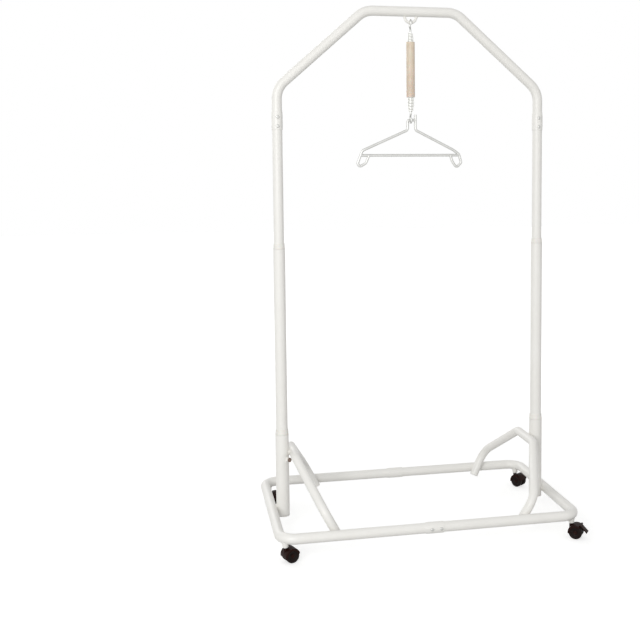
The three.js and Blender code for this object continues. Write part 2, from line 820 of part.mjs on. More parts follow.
function braceLegStops(side, depthSide) {
  const legDepth = (z) => railHalfDepth - braceRailGap + (z - railHeight) * Math.tan(braceFootLean);
  return [
    braceStop(side, depthSide * legDepth(braceFootHeight), braceFootHeight),
    braceStop(side, depthSide * legDepth(braceElbowHeight), braceElbowHeight, braceElbowBend),
    braceStop(side, depthSide * braceBridgeHalfLength, braceBridgeHeight, braceBridgeBend),
  ];
}

for (const [sideName, side] of Object.entries(sides)) {
  const stops = [...braceLegStops(side, -1), ...braceLegStops(side, 1).reverse()];
  const planeNormal = new THREE.Vector3(-Math.cos(braceLean), 0, side * Math.sin(braceLean));
  addPiece(`brace_${sideName}`, sweep(stops, planeNormal, braceSides), whiteCoat);
}

// Casters: each stands in its own frame, with the stem on the upright axis and the wheels trailing
// towards +X, and a group turns that frame to where the caster points
const hubFace = casterWeb / 2 + seatGap + wheelWidth;
const lipFace = hubFace + seatGap;
const hoodHalfWidth = lipFace + lipWall;
const axleEnd = hubFace - wheelRecess + seatGap + axleCap;
const axlePlace = new THREE.Vector3(casterTrail, 0, wheelRadius);

function fromAxle(radius, angle, y) {
  return axlePlace.clone().add(
    new THREE.Vector3(radius * Math.cos(angle), y, radius * Math.sin(angle)));
}

function hoodPlate(inner, outer, back, thickness, y) {
  const geometry = plate(ringSector(inner, outer, back, coverFront), thickness);
  return solidFrom(geometry.translate(casterTrail, y, wheelRadius));
}

function hoodSolid(back) {
  const lipBore = coverRadius - lipDepth;
  const lipPlace = lipFace + lipWall / 2;
  const housingFoot = new THREE.Vector3(0, 0, wheelRadius);
  const housingHead = new THREE.Vector3(0, 0, housingTop);
  const onAxle = (y) => new THREE.Vector3(casterTrail, y, wheelRadius);
  const stemFoot = new THREE.Vector3(0, 0, housingTop - stemDepth - seatGap);
  const stemHead = new THREE.Vector3(0, 0, housingTop + cutOverrun);
  return hoodPlate(coverBore, coverRadius, back, 2 * hoodHalfWidth, 0)
    .add(hoodPlate(lipBore, coverRadius, back, lipWall, lipPlace))
    .add(hoodPlate(lipBore, coverRadius, back, lipWall, -lipPlace))
    .add(hoodPlate(0, coverBore + coverWall / 2, back, casterWeb, 0))
    .add(bar(onAxle(-casterWeb / 2), onAxle(casterWeb / 2), casterWebRadius, tubeSides))
    .add(bar(housingFoot, housingHead, casterWeb / 2, tubeSides))
    .subtract(bar(onAxle(-hoodHalfWidth), onAxle(hoodHalfWidth), axleRadius + seatGap, pinSides))
    .subtract(bar(stemFoot, stemHead, stemRadius + seatGap, pinSides));
}

function wheelGeometry() {
  const tread = wheelRadius / Math.cos(Math.PI / wheelSides);
  const shoulder = tread - treadRound;
  const rim = shoulder - wheelRim;
  const bore = axleRadius + seatGap;
  const recess = wheelWidth - wheelRecess;
  const outline = [
    [bore, 0],
    [tread, 0],
    [tread, wheelWidth - treadRound],
    [shoulder, wheelWidth],
    [rim, wheelWidth],
    [wheelHubRadius, recess],
    [bore, recess],
  ];
  return turned(outline, wheelSides).rotateZ(Math.PI / wheelSides);
}

const axleGeometry = turned([
  [0, -axleEnd],
  [axleCapRadius, -axleEnd],
  [axleCapRadius, axleCap - axleEnd],
  [axleRadius, axleCap - axleEnd],
  [axleRadius, axleEnd - axleCap],
  [axleCapRadius, axleEnd - axleCap],
  [axleCapRadius, axleEnd],
  [0, axleEnd],
], pinSides);

const stemGeometry = turned([
  [0, housingTop - stemDepth],
  [stemRadius, housingTop - stemDepth],
  [stemRadius, flangeFoot],
  [stemFlangeRadius, flangeFoot],
  [stemFlangeRadius, flangeFoot + stemFlange],
  [railStemRadius, flangeFoot + stemFlange],
  [railStemRadius, flangeFoot + railStemLength],
  [0, flangeFoot + railStemLength],
], pinSides);

// Brake pedal: a flap on two lugs of the hood, which is pressed down onto both treads
const pivotRadius = coverRadius + seatGap + pedalHubRadius;
const lugPlace = pedalHalfWidth + seatGap + lugWall / 2;

function pivotPoint(y) {
  return fromAxle(pivotRadius, pedalPivotAngle, y);
}

function pedalLug(y) {
  const near = y - lugWall / 2;
  const far = y + lugWall / 2;
  const eye = bar(pivotPoint(near), pivotPoint(far), lugRadius, pinSides);
  const rootLength = pivotRadius - coverBore - coverWall / 2;
  const root = new THREE.BoxGeometry(2 * lugRadius, lugWall, rootLength);
  root.rotateY(Math.PI / 2 - pedalPivotAngle);
  const middle = fromAxle(pivotRadius - rootLength / 2, pedalPivotAngle, y);
  root.translate(middle.x, middle.y, middle.z);
  return eye.add(solidFrom(root));
}

function brakedHoodSolid() {
  const outside = lugPlace + cutOverrun;
  return hoodSolid(brakedCoverBack)
    .add(pedalLug(lugPlace))
    .add(pedalLug(-lugPlace))
    .subtract(bar(pivotPoint(-outside), pivotPoint(outside), pedalPinRadius + seatGap, pinSides));
}

function pedalSolid() {
  const pinEnd = pedalHalfWidth + seatGap + lugWall;
  const tip = fromAxle(pedalTipRadius, pedalTipAngle, 0);
  const flapRun = tip.clone().sub(pivotPoint(0));
  const flap = new THREE.BoxGeometry(pedalThickness, 2 * pedalHalfWidth, flapRun.length());
  flap.rotateY(Math.atan2(flapRun.x, flapRun.z));
  const middle = pivotPoint(0).addScaledVector(flapRun, 1 / 2);
  flap.translate(middle.x, middle.y, middle.z);
  const toeLeft = fromAxle(pedalTipRadius, pedalTipAngle, -pedalHalfWidth);
  const toeRight = fromAxle(pedalTipRadius, pedalTipAngle, pedalHalfWidth);
  return solidFrom(flap)
    .add(bar(pivotPoint(-pedalHalfWidth), pivotPoint(pedalHalfWidth), pedalHubRadius, pinSides))
    .add(bar(pivotPoint(-pinEnd), pivotPoint(pinEnd), pedalPinRadius, pinSides))
    .add(bar(toeLeft, toeRight, pedalToeRadius, pinSides));
}

for (const [cornerName, yaw] of Object.entries(casterYaws)) {
  const caster = new THREE.Group();
  const [depthName, sideName] = cornerName.split("_");
  const depthSide = depthName === "front" ? -1 : 1;
  const braked = cornerName === "front_right";
  caster.position.x = sides[sideName] * (railHalfLength - cornerInset);
  caster.position.y = depthSide * (railHalfDepth - cornerInset);
  caster.rotation.z = yaw;
  stand.add(caster);
  const hood = surfaceOf(braked ? brakedHoodSolid() : hoodSolid(coverBack));
  addPiece(`caster_hood_${cornerName}`, hood, blackMoulding, caster);
  addPiece(`caster_stem_${cornerName}`, stemGeometry, zincPlate, caster);
  const axle = addPiece(`caster_axle_${cornerName}`, axleGeometry, zincPlate, caster);
  axle.position.copy(axlePlace);
  axle.rotation.x = Math.PI / 2;
  for (const [wheelName, face] of [["near", -1], ["far", 1]]) {
    const name = `caster_wheel_${cornerName}_${wheelName}`;
    const wheel = addPiece(name, wheelGeometry(), wheelRubber, caster);
    wheel.position.copy(axlePlace);
    wheel.position.y = face * (casterWeb / 2 + seatGap);
    wheel.rotation.x = -face * Math.PI / 2;
  }
  if (braked) {
    addPiece("brake_pedal", surfaceOf(pedalSolid()), blackMoulding, caster);
  }
}

export default stand;
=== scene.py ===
"""A free-standing spring cradle: a white tubular steel stand on four twin-wheel casters, with an
extension spring and a wire hanger under its arch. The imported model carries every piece, and this
script dresses it, in the order in which such a stand is put together. Sizes are in millimetres, but
the camera, the floor and the lamps are placed in metres."""

import math

import bmesh
import bpy
from mathutils import Matrix, Vector


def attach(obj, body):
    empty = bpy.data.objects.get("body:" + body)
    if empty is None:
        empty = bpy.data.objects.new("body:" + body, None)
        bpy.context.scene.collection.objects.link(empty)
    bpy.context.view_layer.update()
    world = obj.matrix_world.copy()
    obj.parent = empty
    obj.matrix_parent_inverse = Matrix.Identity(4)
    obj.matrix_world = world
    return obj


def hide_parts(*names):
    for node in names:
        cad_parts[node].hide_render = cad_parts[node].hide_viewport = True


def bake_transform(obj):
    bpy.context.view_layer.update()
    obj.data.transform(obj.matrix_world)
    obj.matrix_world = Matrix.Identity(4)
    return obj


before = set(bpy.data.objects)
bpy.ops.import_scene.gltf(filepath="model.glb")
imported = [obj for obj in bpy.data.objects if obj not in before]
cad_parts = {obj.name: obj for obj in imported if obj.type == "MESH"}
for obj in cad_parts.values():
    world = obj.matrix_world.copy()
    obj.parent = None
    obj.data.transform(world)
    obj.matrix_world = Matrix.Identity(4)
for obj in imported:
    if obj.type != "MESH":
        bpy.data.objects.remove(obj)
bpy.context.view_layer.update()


# Camera: at chest height, 2.9 m away and a little to the left of the stand. The lens is shifted so
# that the stand is right of the middle of the picture, with free space on its left and below it.
camera_lens = bpy.data.cameras.new("camera")
camera_lens.lens = 55.91
camera_lens.sensor_width = 36
camera_lens.shift_x = -0.1152
camera_lens.shift_y = -0.1058
camera = bpy.data.objects.new("camera", camera_lens)
camera_place = Vector((-0.6702, -2.8257, 1.0481))
camera_yaw = math.radians(-12.32)
camera_tilt = math.radians(90 - 4.8)
camera_roll = math.radians(-0.35)
camera.matrix_world = (
    Matrix.Translation(camera_place)
    @ Matrix.Rotation(camera_yaw, 4, "Z")
    @ Matrix.Rotation(camera_tilt, 4, "X")
    @ Matrix.Rotation(camera_roll, 4, "Z")
)
bpy.context.scene.collection.objects.link(camera)
bpy.context.scene.camera = camera
bpy.context.scene.view_settings.view_transform = "Standard"


# Base rails: 28.6 mm mild steel tube, bent into two U-shaped halves. The left half's ends are swaged
# open and take the right half's ends, and a short boss is welded under each corner for a caster.
MM = 0.001
UP = Vector((0, 0, 1))
ACROSS = Vector((1, 0, 0))
REARWARD = Vector((0, 1, 0))
SIDES = {"left": -1, "right": 1}
DEPTHS = {"front": -1, "rear": 1}
EDGE = 0.5
tube_sides = 48
small_sides = 32
rod_sides = 24
bead_sides = 8
weld_steps = 40
crease = math.radians(38)
seat_gap = 0.3
tube_wall = 1.2
tube_radius = 14.3
mouth_bore = tube_radius + seat_gap
mouth_radius = mouth_bore + tube_wall
rail_half_length = 420
rail_half_depth = 254.3
rail_bend = 45
rail_height = 67
rail_mouth = 26
rail_swage_end = -18
swage_taper = 12
right_end = -16
corner_inset = rail_bend * (1 - math.sqrt(0.5))
boss_foot = 42.7
boss_head = rail_height - tube_radius + 3
boss_radius = 8
boss_flare = 0.9
boss_weld_radius = boss_radius + 1
stem_hole = 4.3
bead_radius = 1.7


def linear(hex_colour):
    """An sRGB hex colour as linear RGBA."""
    parts = [int(hex_colour[i:i + 2], 16) / 255 for i in (0, 2, 4)]
    return [c / 12.92 if c <= 0.04045 else ((c + 0.055) / 1.055) ** 2.4 for c in parts] + [1]


def new_material(name, sockets):
    """A material, its node tree and its shader, with the shader's own sockets set."""
    material = bpy.data.materials.new(name)
    material.use_nodes = True
    tree = material.node_tree
    shader = tree.nodes["Principled BSDF"]
    for socket, value in sockets.items():
        shader.inputs[socket].default_value = value
    return material, tree, shader


def add_node(tree, kind, settings, links):
    """A node with its settings, by property name or by input, and its inputs linked."""
    node = tree.nodes.new(kind)
    for key, value in settings.items():
        if isinstance(key, int) or key in node.inputs:
            node.inputs[key].default_value = value
        else:
            setattr(node, key, value)
    for key, source in links.items():
        tree.links.new(source, node.inputs[key])
    return node


def object_place(tree):
    """A point's place on its piece, in metres."""
    return add_node(tree, "ShaderNodeTexCoord", {}, {}).outputs["Object"]


def noise(tree, cell, detail, roughness=0.5):
    """Clouds of noise whose cells have a real width in millimetres."""
    cloud = add_node(
        tree, "ShaderNodeTexNoise",
        {"Scale": 1 / (cell * MM), "Detail": detail, "Roughness": roughness},
        {"Vector": object_place(tree)})
    return cloud.outputs[0]


def ramp(tree, factor, low, high, start=0.3, end=0.7, curve="LINEAR"):
    """A value that runs from low to high while a factor runs from its start to its end."""
    span = add_node(
        tree, "ShaderNodeMapRange", {"interpolation_type": curve, 1: start, 2: end, 3: low, 4: high},
        {0: factor})
    return span.outputs[0]


def blend(tree, factor, under, over):
    """A colour between two, of which the first is a hex colour or the output of a node."""
    mix = add_node(tree, "ShaderNodeMix", {"data_type": "RGBA", 7: linear(over)}, {0: factor})
    if isinstance(under, str):
        mix.inputs[6].default_value = linear(under)
    else:
        tree.links.new(under, mix.inputs[6])
    return mix.outputs[2]


def bump(tree, height, strength, depth):
    """A bump from a height, with a real depth in millimetres."""
    relief = add_node(
        tree, "ShaderNodeBump", {"Strength": strength, "Distance": depth * MM}, {"Height": height})
    return relief.outputs[0]


def feed(tree, shader, sources):
    """The outputs of nodes, linked to the shader's sockets."""
    for socket, source in sources.items():
        tree.links.new(source, shader.inputs[socket])


# Powder coat over mild steel: a satin, slightly warm white. The cured powder leaves a faint orange
# peel, whose 1.5 mm cells are drawn 5 mm wide here to show. The film's depth clouds its tone, and
# rubbed patches are a little greyer.
powder_coat, coat, coat_shader = new_material(
    "powder_coated_steel", {"Specular IOR Level": 0.4, "Coat Weight": 0.1, "Coat Roughness": 0.3})
coat_cloud = noise(coat, cell=70, detail=4)
coat_clean = blend(coat, coat_cloud, "efeeea", "eae8e3")
coat_rub = ramp(coat, noise(coat, cell=9, detail=6, roughness=0.7), 0, 0.3, start=0.66, end=0.8)
feed(coat, coat_shader, {
    "Base Color": blend(coat, coat_rub, coat_clean, "dad7d0"),
    "Roughness": ramp(coat, coat_cloud, 0.33, 0.45),
    "Normal": bump(coat, noise(coat, cell=5, detail=1), strength=0.06, depth=0.05),
})


def circle(centre, first_axis, second_axis, radius, side_count):
    """Points round a centre, in the plane of two axes."""
    return [
        centre + radius * (math.cos(turn) * first_axis + math.sin(turn) * second_axis)
        for turn in (2 * math.pi * step / side_count for step in range(side_count))
    ]


def skin(name, rings, closed):
    """A smooth closed mesh through rings of points, closed in a loop or capped at both ends."""
    size = len(rings[0])
    faces = []
    for span in range(len(rings) if closed else len(rings) - 1):
        near = span * size
        far = (span + 1) % len(rings) * size
        for corner in range(size):
            after = (corner + 1) % size
            faces.append((near + corner, near + after, far + after, far + corner))
    if not closed:
        last = (len(rings) - 1) * size
        faces += [tuple(reversed(range(size))), tuple(range(last, last + size))]
    mesh = bpy.data.meshes.new(name)
    mesh.from_pydata([point * MM for ring in rings for point in ring], [], faces)
    return finished(mesh)


def finished(mesh):
    """The mesh with its faces turned outwards, and shaded."""
    shape = bmesh.new()
    shape.from_mesh(mesh)
    bmesh.ops.recalc_face_normals(shape, faces=shape.faces)
    shape.to_mesh(mesh)
    shape.free()
    return shaded(mesh)


def shaded(mesh):
    """The mesh shaded smooth, with an edge where its faces meet at an angle."""
    mesh.shade_smooth()
    mesh.set_sharp_from_angle(angle=crease)
    return mesh


def mesh_from(name, shape):
    mesh = bpy.data.meshes.new(name)
    shape.to_mesh(mesh)
    shape.free()
    return mesh


def merged(name, meshes):
    """One mesh made of several."""
    shape = bmesh.new()
    for mesh in meshes:
        shape.from_mesh(mesh)
    return shaded(mesh_from(name, shape))


def cut(mesh, cutter):
    """The mesh with the cutter taken out of it."""
    work = bpy.data.objects.new("work", mesh)
    tool = bpy.data.objects.new("tool", cutter)
    for thing in (work, tool):
        bpy.context.scene.collection.objects.link(thing)
    modifier = work.modifiers.new("cut", "BOOLEAN")
    modifier.operation = "DIFFERENCE"
    modifier.solver = "EXACT"
    modifier.object = tool
    graph = bpy.context.evaluated_depsgraph_get()
    result = bpy.data.meshes.new_from_object(work.evaluated_get(graph))
    for thing in (work, tool):
        bpy.data.objects.remove(thing)
    return finished(result)


def add_piece(name, mesh, material, body, replaced=(), place=None):
    """A piece of the stand, which moves with a body of the frame where one is given."""
    piece = bpy.data.objects.new(name, mesh)
    bpy.context.scene.collection.objects.link(piece)
    if place is not None:
        piece.matrix_world = place
    if not mesh.materials:
        mesh.materials.append(material)
    if body:
        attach(piece, body)
    if replaced:
        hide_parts(*replaced)
    return piece


def add_coated(name, mesh, body, replaced=(), place=None):
    """A piece of powder-coated steel."""
    add_piece(name, mesh, powder_coat, body, replaced, place)


def stop_at(place, radius, bore=0, bend=0):
    """A stop of a run: its place, the section's sizes there and, where the run turns, a bend radius."""
    return {"at": place, "radius": radius, "bore": bore, "bend": bend}


def plain_stop(place, bend=0):
    """A stop of the plain tube of the rails, the upper posts and the arch."""
    return stop_at(place, tube_radius, tube_radius - tube_wall, bend)


def mouth_stop(place):
    """A stop of that tube where it is swaged open."""
    return stop_at(place, mouth_radius, mouth_bore)


def stations_through(stops, bend_step=math.radians(5)):
    """The stations of a run through its stops, with a station for each step of a bend."""
    stations = []
    for index, stop in enumerate(stops):
        into = (stop["at"] - stops[index - 1]["at"]).normalized() if index else None
        last = index == len(stops) - 1
        out_of = None if last else (stops[index + 1]["at"] - stop["at"]).normalized()
        if not stop["bend"]:
            stations.append({**stop, "along": into or out_of})
            continue
        turn = into.angle(out_of)
        start = stop["at"] - into * stop["bend"] * math.tan(turn / 2)
        inward = (out_of - into * math.cos(turn)).normalized()
        steps = math.ceil(turn / bend_step)
        for step in range(steps + 1):
            angle = turn * step / steps
            place = start + stop["bend"] * (into * math.sin(angle) + inward * (1 - math.cos(angle)))
            along = into * math.cos(angle) + inward * math.sin(angle)
            if (place - stations[-1]["at"]).length > 0.01:
                stations.append({**stop, "at": place, "along": along})
    return stations


def tube(name, stops, plane_normal, side_count=tube_sides, edge=0.35):
    """A tube, or a rod where the stops have no bore, in one plane, with its end edges broken."""
    stations = stations_through(stops)

    def ring(station, radius, shift=0):
        side = station["along"].cross(plane_normal)
        centre = station["at"] + shift * station["along"]
        return circle(centre, plane_normal, side, radius, side_count)

    first, last = stations[0], stations[-1]
    outer = [ring(first, first["radius"] - edge), ring(first, first["radius"], edge)]
    outer += [ring(station, station["radius"]) for station in stations[1:-1]]
    outer += [ring(last, last["radius"], -edge), ring(last, last["radius"] - edge)]
    if not first["bore"]:
        return skin(name, outer, closed=False)
    inner = [ring(station, station["bore"]) for station in stations]
    return skin(name, outer + inner[::-1], closed=True)


def swage(mouth_stops, plain, steps=6):
    """The stops of a swage that eases from its mouth to the plain tube."""
    start = mouth_stops[-1]
    eased = []
    for share in (step / steps for step in range(1, steps)):
        smooth = share * share * (3 - 2 * share)
        eased.append(stop_at(
            start["at"].lerp(plain["at"], share),
            start["radius"] + (plain["radius"] - start["radius"]) * smooth,
            start["bore"] + (plain["bore"] - start["bore"]) * smooth))
    return [*mouth_stops, *eased, plain]


def turned(name, outline, side_count=tube_sides):
    """A piece turned about +Z, from an outline of (radius, height) that is closed round a hollow, or
    that starts and ends on the axis."""
    on_axis = outline[0][0] == 0
    points = outline[1:-1] if on_axis else outline
    rings = [circle(UP * height, ACROSS, REARWARD, radius, side_count) for radius, height in points]
    return skin(name, rings, closed=not on_axis)


def barrel(bore, radius, half, edge=EDGE):
    """The outline of a plain turned piece about its middle, with its edges broken."""
    return [(bore, -half), (radius - edge, -half), (radius, edge - half), (radius, half - edge),
            (radius - edge, half), (bore, half)]


def add_weld(name, path, body, radius=bead_radius, ripple=0.14, ripples=2.2):
    """A closed bead of weld along a loop of points, with the ripples of its run, coated over."""
    rings = []
    count = len(path)
    for index, point in enumerate(path):
        along = (path[(index + 1) % count] - path[index - 1]).normalized()
        first_axis = along.orthogonal().normalized() if index == 0 else (
            first_axis - along * first_axis.dot(along)).normalized()
        swell = 1 + ripple * math.sin(index * ripples)
        rings.append(circle(point, first_axis, along.cross(first_axis), radius * swell, bead_sides))
    add_coated(name, skin(name, rings, closed=True), body)


def crossing_path(touch, normal, first_way, first_radius, second_way, second_radius, reach=2.2):
    """The loop where a weld fills the gap round the place at which two tubes touch."""
    first_side = normal.cross(first_way).normalized()
    second_side = normal.cross(second_way).normalized()
    path = []
    for way in circle(Vector(), first_side, first_side.cross(normal), 1, weld_steps):
        first_drop = way.dot(first_side) ** 2 / (2 * first_radius)
        second_drop = way.dot(second_side) ** 2 / (2 * second_radius)
        length = math.sqrt(reach / (first_drop + second_drop))
        lift = (second_drop - first_drop) * length ** 2 / 2
        path.append(touch + way * length + normal * lift)
    return path


def collar_path(centre, axis, radius, host_way, host_radius):
    """The loop where a round stub meets the side of the tube that it leaves at a right angle."""
    first = axis.orthogonal().normalized()
    aside = axis.cross(host_way)
    return [point + axis * math.sqrt(host_radius ** 2 - (point - centre).dot(aside) ** 2)
            for point in circle(centre, first, axis.cross(first), radius, weld_steps)]


def rail_point(x, y):
    return Vector((x, y, rail_height))


def corner_point(side, depth_side):
    """The floor under the middle of a corner's bend, where a caster stands."""
    return Vector((side * (rail_half_length - corner_inset),
                   depth_side * (rail_half_depth - corner_inset), 0))


caster_boss = turned("caster_boss", [
    (stem_hole, boss_foot), (boss_radius - EDGE, boss_foot), (boss_radius, boss_foot + EDGE),
    (boss_radius + boss_flare, boss_head), (stem_hole, boss_head)])
for side_name, side in SIDES.items():
    ends = []
    bends = []
    for depth_side in DEPTHS.values():
        y = depth_side * rail_half_depth
        mouth = [mouth_stop(rail_point(x, y)) for x in (rail_mouth, rail_swage_end)]
        plain = plain_stop(rail_point(rail_swage_end - swage_taper, y))
        ends.append(swage(mouth, plain) if side < 0 else [plain_stop(rail_point(right_end, y))])
        bends.append(plain_stop(rail_point(side * rail_half_length, y), rail_bend))
    rail = tube(f"rail_{side_name}", [*ends[0], *bends, *ends[1][::-1]], UP)
    add_coated(f"rail_{side_name}", rail, "base", [f"base_{side_name}"])
    for depth_name, depth_side in DEPTHS.items():
        corner = corner_point(side, depth_side)
        add_coated(f"caster_boss_{depth_name}_{side_name}", caster_boss, "base",
                   place=Matrix.Translation(corner * MM))
        rail_way = Vector((-side, depth_side, 0)).normalized()
        boss_path = collar_path(corner + UP * rail_height, -UP, boss_weld_radius, rail_way, tube_radius)
        add_weld(f"boss_weld_{depth_name}_{side_name}", boss_path, "base")


# Joint screws: zinc-plated pan-head machine screws with a cross recess. Two lock each swaged joint of
# the rails and two each leg of the arch, so the stand can be taken apart for carrying.
screw_radius = 2.4
screw_length = 9
screw_head = 5
screw_head_height = 3
screw_spacing = 26
screw_edge = 0.4
head_edge = 0.2
head_rim_share = 0.2
crown_foot_share = 0.25
crown_fullness = 0.55
crown_degrees = (20, 40, 58, 72, 84)
recess_length_share = 1.15
recess_width_share = 0.24
recess_depth_share = 0.5
rail_screw_middle = 4
arch_screw_middle = 1182.5
socket_radius = 19.1
socket_cope = 0.6
post_half_spacing = rail_half_length - tube_radius - socket_radius + socket_cope

# Zinc plate over steel: a bright, neutral grey metal. The plating's crystals are far finer than a
# millimetre, so they are drawn 3 mm wide, as a soft change of gloss.
zinc_plate, zinc, zinc_shader = new_material("zinc_plated_steel", {"Metallic": 1})
feed(zinc, zinc_shader, {
    "Base Color": blend(zinc, noise(zinc, cell=25, detail=2), "cdcdcb", "babab7"),
    "Roughness": ramp(zinc, noise(zinc, cell=3, detail=3), 0.42, 0.56),
})


def cross_recess(head, height):
    """A cutter for the cross recess in the top of a screw head."""
    reach = head * recess_length_share / 2
    side = head * recess_width_share / 2
    depth = height * recess_depth_share
    quarter = [Vector((reach, -side, 0)), Vector((reach, side, 0)), Vector((side, side, 0))]
    outline = [Matrix.Rotation(math.pi / 2 * turn, 3, "Z") @ point
               for turn in range(4) for point in quarter]
    rings = [[point + UP * level for point in outline] for level in (height - depth, height + depth)]
    return skin("recess", rings, closed=False)


def pan_screw(name, shank, length, head, height):
    """A pan-head screw that points down, with its head seated at height zero."""
    crown_foot = height * crown_foot_share
    crown = [(head * math.cos(turn) ** crown_fullness,
              crown_foot + (height - crown_foot) * math.sin(turn))
             for turn in map(math.radians, crown_degrees)]
    plain = turned(name, [
        (0, -length), (shank - screw_edge, -length), (shank, screw_edge - length), (shank, 0),
        (head - head_edge, 0), (head, height * head_rim_share), *crown, (0, height)], small_sides)
    return cut(plain, cross_recess(head, height))


def facing(place, direction):
    """The place of a piece whose +Z is turned to a direction."""
    return Matrix.Translation(place * MM) @ UP.rotation_difference(direction).to_matrix().to_4x4()


def add_screw(name, screw, body, node, seat, way):
    add_piece(name, screw, zinc_plate, body, [node], facing(seat, way))


joint_screw = pan_screw("joint_screw", screw_radius, screw_length, screw_head, screw_head_height)
for depth_name, depth_side in DEPTHS.items():
    for side_name, side in SIDES.items():
        name = f"rail_screw_{depth_name}_{side_name}"
        seat = Vector((rail_screw_middle + side * screw_spacing / 2,
                       depth_side * (rail_half_depth + mouth_radius + seat_gap), rail_height))
        add_screw(f"{name}_head", joint_screw, "base", name, seat, REARWARD * depth_side)
for side_name, side in SIDES.items():
    for height_name, height_side in (("low", -1), ("high", 1)):
        name = f"arch_screw_{side_name}_{height_name}"
        seat = Vector((side * post_half_spacing, -mouth_radius - seat_gap,
                       arch_screw_middle + height_side * screw_spacing / 2))
        add_screw(f"{name}_head", joint_screw, "arch_frame", name, seat, -REARWARD)


# Sockets: 38.2 mm steel tube, welded upright to the inner side of each end rail. A moulded plug closes
# the foot, a moulded bush guides the post at the top, and a welded nut carries the lock bolt.
socket_bore = 17.9
socket_foot = 48
socket_top = 285
plug_wall = 3
plug_edge = 0.2
plug_inside = socket_foot + 4
plug_face = socket_foot - seat_gap
plug_foot = plug_face - 2
plug_body = socket_bore - seat_gap
plug_cup = plug_body - plug_wall
bush_wall = 0.6
bush_depth = 25
bush_height = 15
bush_rim = 3.2
bush_edge = 0.4
bush_lip = 0.1
nut_radius = 7.5
nut_height = 5
nut_sink = 0.9
nut_weld_radius = nut_radius - 0.4
hexagon_chamfer = 0.7
chamfer_slope = 1.6
bolt_hole_radius = 4.3
bolt_height = 213
bolt_angle = math.radians(45)
drill_near = 10
drill_far = 30
small_bead = 1.1

# Moulded polyethylene, white like the tubes but duller, with the fine grain of its mould, which is
# under half a millimetre and drawn 2 mm wide.
moulded_white, moulding, moulding_shader = new_material(
    "moulded_polyethylene", {"Roughness": 0.5, "Subsurface Weight": 0.05, "Subsurface Scale": 0.002})
moulding_grain = noise(moulding, cell=2, detail=2)
feed(moulding, moulding_shader, {
    "Base Color": blend(moulding, moulding_grain, "eceae5", "e4e1da"),
    "Normal": bump(moulding, moulding_grain, strength=0.2, depth=0.05),
})


def post_point(side, height):
    """A point on the axis of a socket and its posts, or of the stand where the side is 0."""
    return Vector((side * post_half_spacing, 0, height))


def upright(name, side, foot, top, radius, bore):
    return tube(name, [stop_at(post_point(side, z), radius, bore) for z in (foot, top)], REARWARD)


def collar_bush(name, holder_bore, holder_radius, top):
    """A bush in the top of a tube: a thin sleeve inside, and above it a rim and a tapered collar."""
    sleeve = holder_bore - seat_gap
    bore = sleeve - bush_wall
    rim = top + seat_gap
    crown = rim + bush_height
    return turned(name, [
        (bore, top - bush_depth), (sleeve, top - bush_depth), (sleeve, rim),
        (holder_radius - bush_edge, rim), (holder_radius, rim + bush_edge),
        (holder_radius, rim + bush_rim - 2 * bush_edge), (holder_radius - EDGE, rim + bush_rim),
        (sleeve + EDGE, crown - 2 * bush_edge), (sleeve + bush_lip, crown),
        (bore + 2 * bush_lip, crown), (bore, crown - bush_edge)])


def hexagon(name, foot, top, radius):
    """A hexagonal nut or bolt head along +Z, chamfered at its top."""
    outline = [(radius, foot), (radius, top - hexagon_chamfer),
               (radius - hexagon_chamfer * chamfer_slope, top)]
    return skin(name, [circle(UP * z, ACROSS, REARWARD, size, 6) for size, z in outline], closed=False)


def drill(radius, place=Matrix()):
    """A cutter for a hole through one wall of an upright, in the direction that a place faces."""
    outline = [(0, drill_near), (radius, drill_near), (radius, drill_far), (0, drill_far)]
    cutter = turned("drill", outline, rod_sides)
    cutter.transform(place)
    return cutter


def add_moulded(name, mesh, side, body, node):
    """A moulded plug or bush on the axis of a post."""
    add_piece(name, mesh, moulded_white, body, [node],
              Matrix.Translation(post_point(side, 0) * MM))


def bolt_way(side):
    """The direction in which a lock bolt stands out of its socket."""
    return Vector((math.cos(bolt_angle), -math.sin(bolt_angle), 0)) * -side


plug = turned("socket_plug", [
    (0, plug_face), (plug_cup, plug_face), (plug_cup, plug_foot + plug_edge),
    (plug_cup + plug_edge, plug_foot), (socket_radius - EDGE, plug_foot),
    (socket_radius, plug_foot + EDGE), (socket_radius, plug_face), (plug_body, plug_face),
    (plug_body, plug_inside), (0, plug_inside)])
socket_bush = collar_bush("socket_bush", socket_bore, socket_radius, socket_top)
bolt_nut = cut(hexagon("bolt_nut", socket_radius - nut_sink, socket_radius + nut_height, nut_radius),
               drill(bolt_hole_radius))

for side_name, side in SIDES.items():
    bolt_middle = post_point(side, bolt_height)
    bolt_place = facing(bolt_middle, bolt_way(side))
    socket = upright(f"socket_{side_name}", side, socket_foot, socket_top, socket_radius, socket_bore)
    add_coated(f"socket_tube_{side_name}", cut(socket, drill(bolt_hole_radius, bolt_place)), "base",
               [f"socket_{side_name}"])
    add_coated(f"bolt_nut_{side_name}", bolt_nut, "base", place=bolt_place)
    nut_path = collar_path(bolt_middle, bolt_way(side), nut_weld_radius, UP, socket_radius)
    add_weld(f"nut_weld_{side_name}", nut_path, "base", small_bead)
    socket_touch = Vector((side * (rail_half_length - tube_radius), 0, rail_height))
    socket_path = crossing_path(socket_touch, ACROSS * side, UP, socket_radius, REARWARD, tube_radius)
    add_weld(f"socket_weld_{side_name}", socket_path, "base")
    add_moulded(f"socket_plug_{side_name}_cap", plug, side, "base", f"socket_plug_{side_name}")
    add_moulded(f"socket_bush_{side_name}_collar", socket_bush, side, "base",
                f"socket_bush_{side_name}")


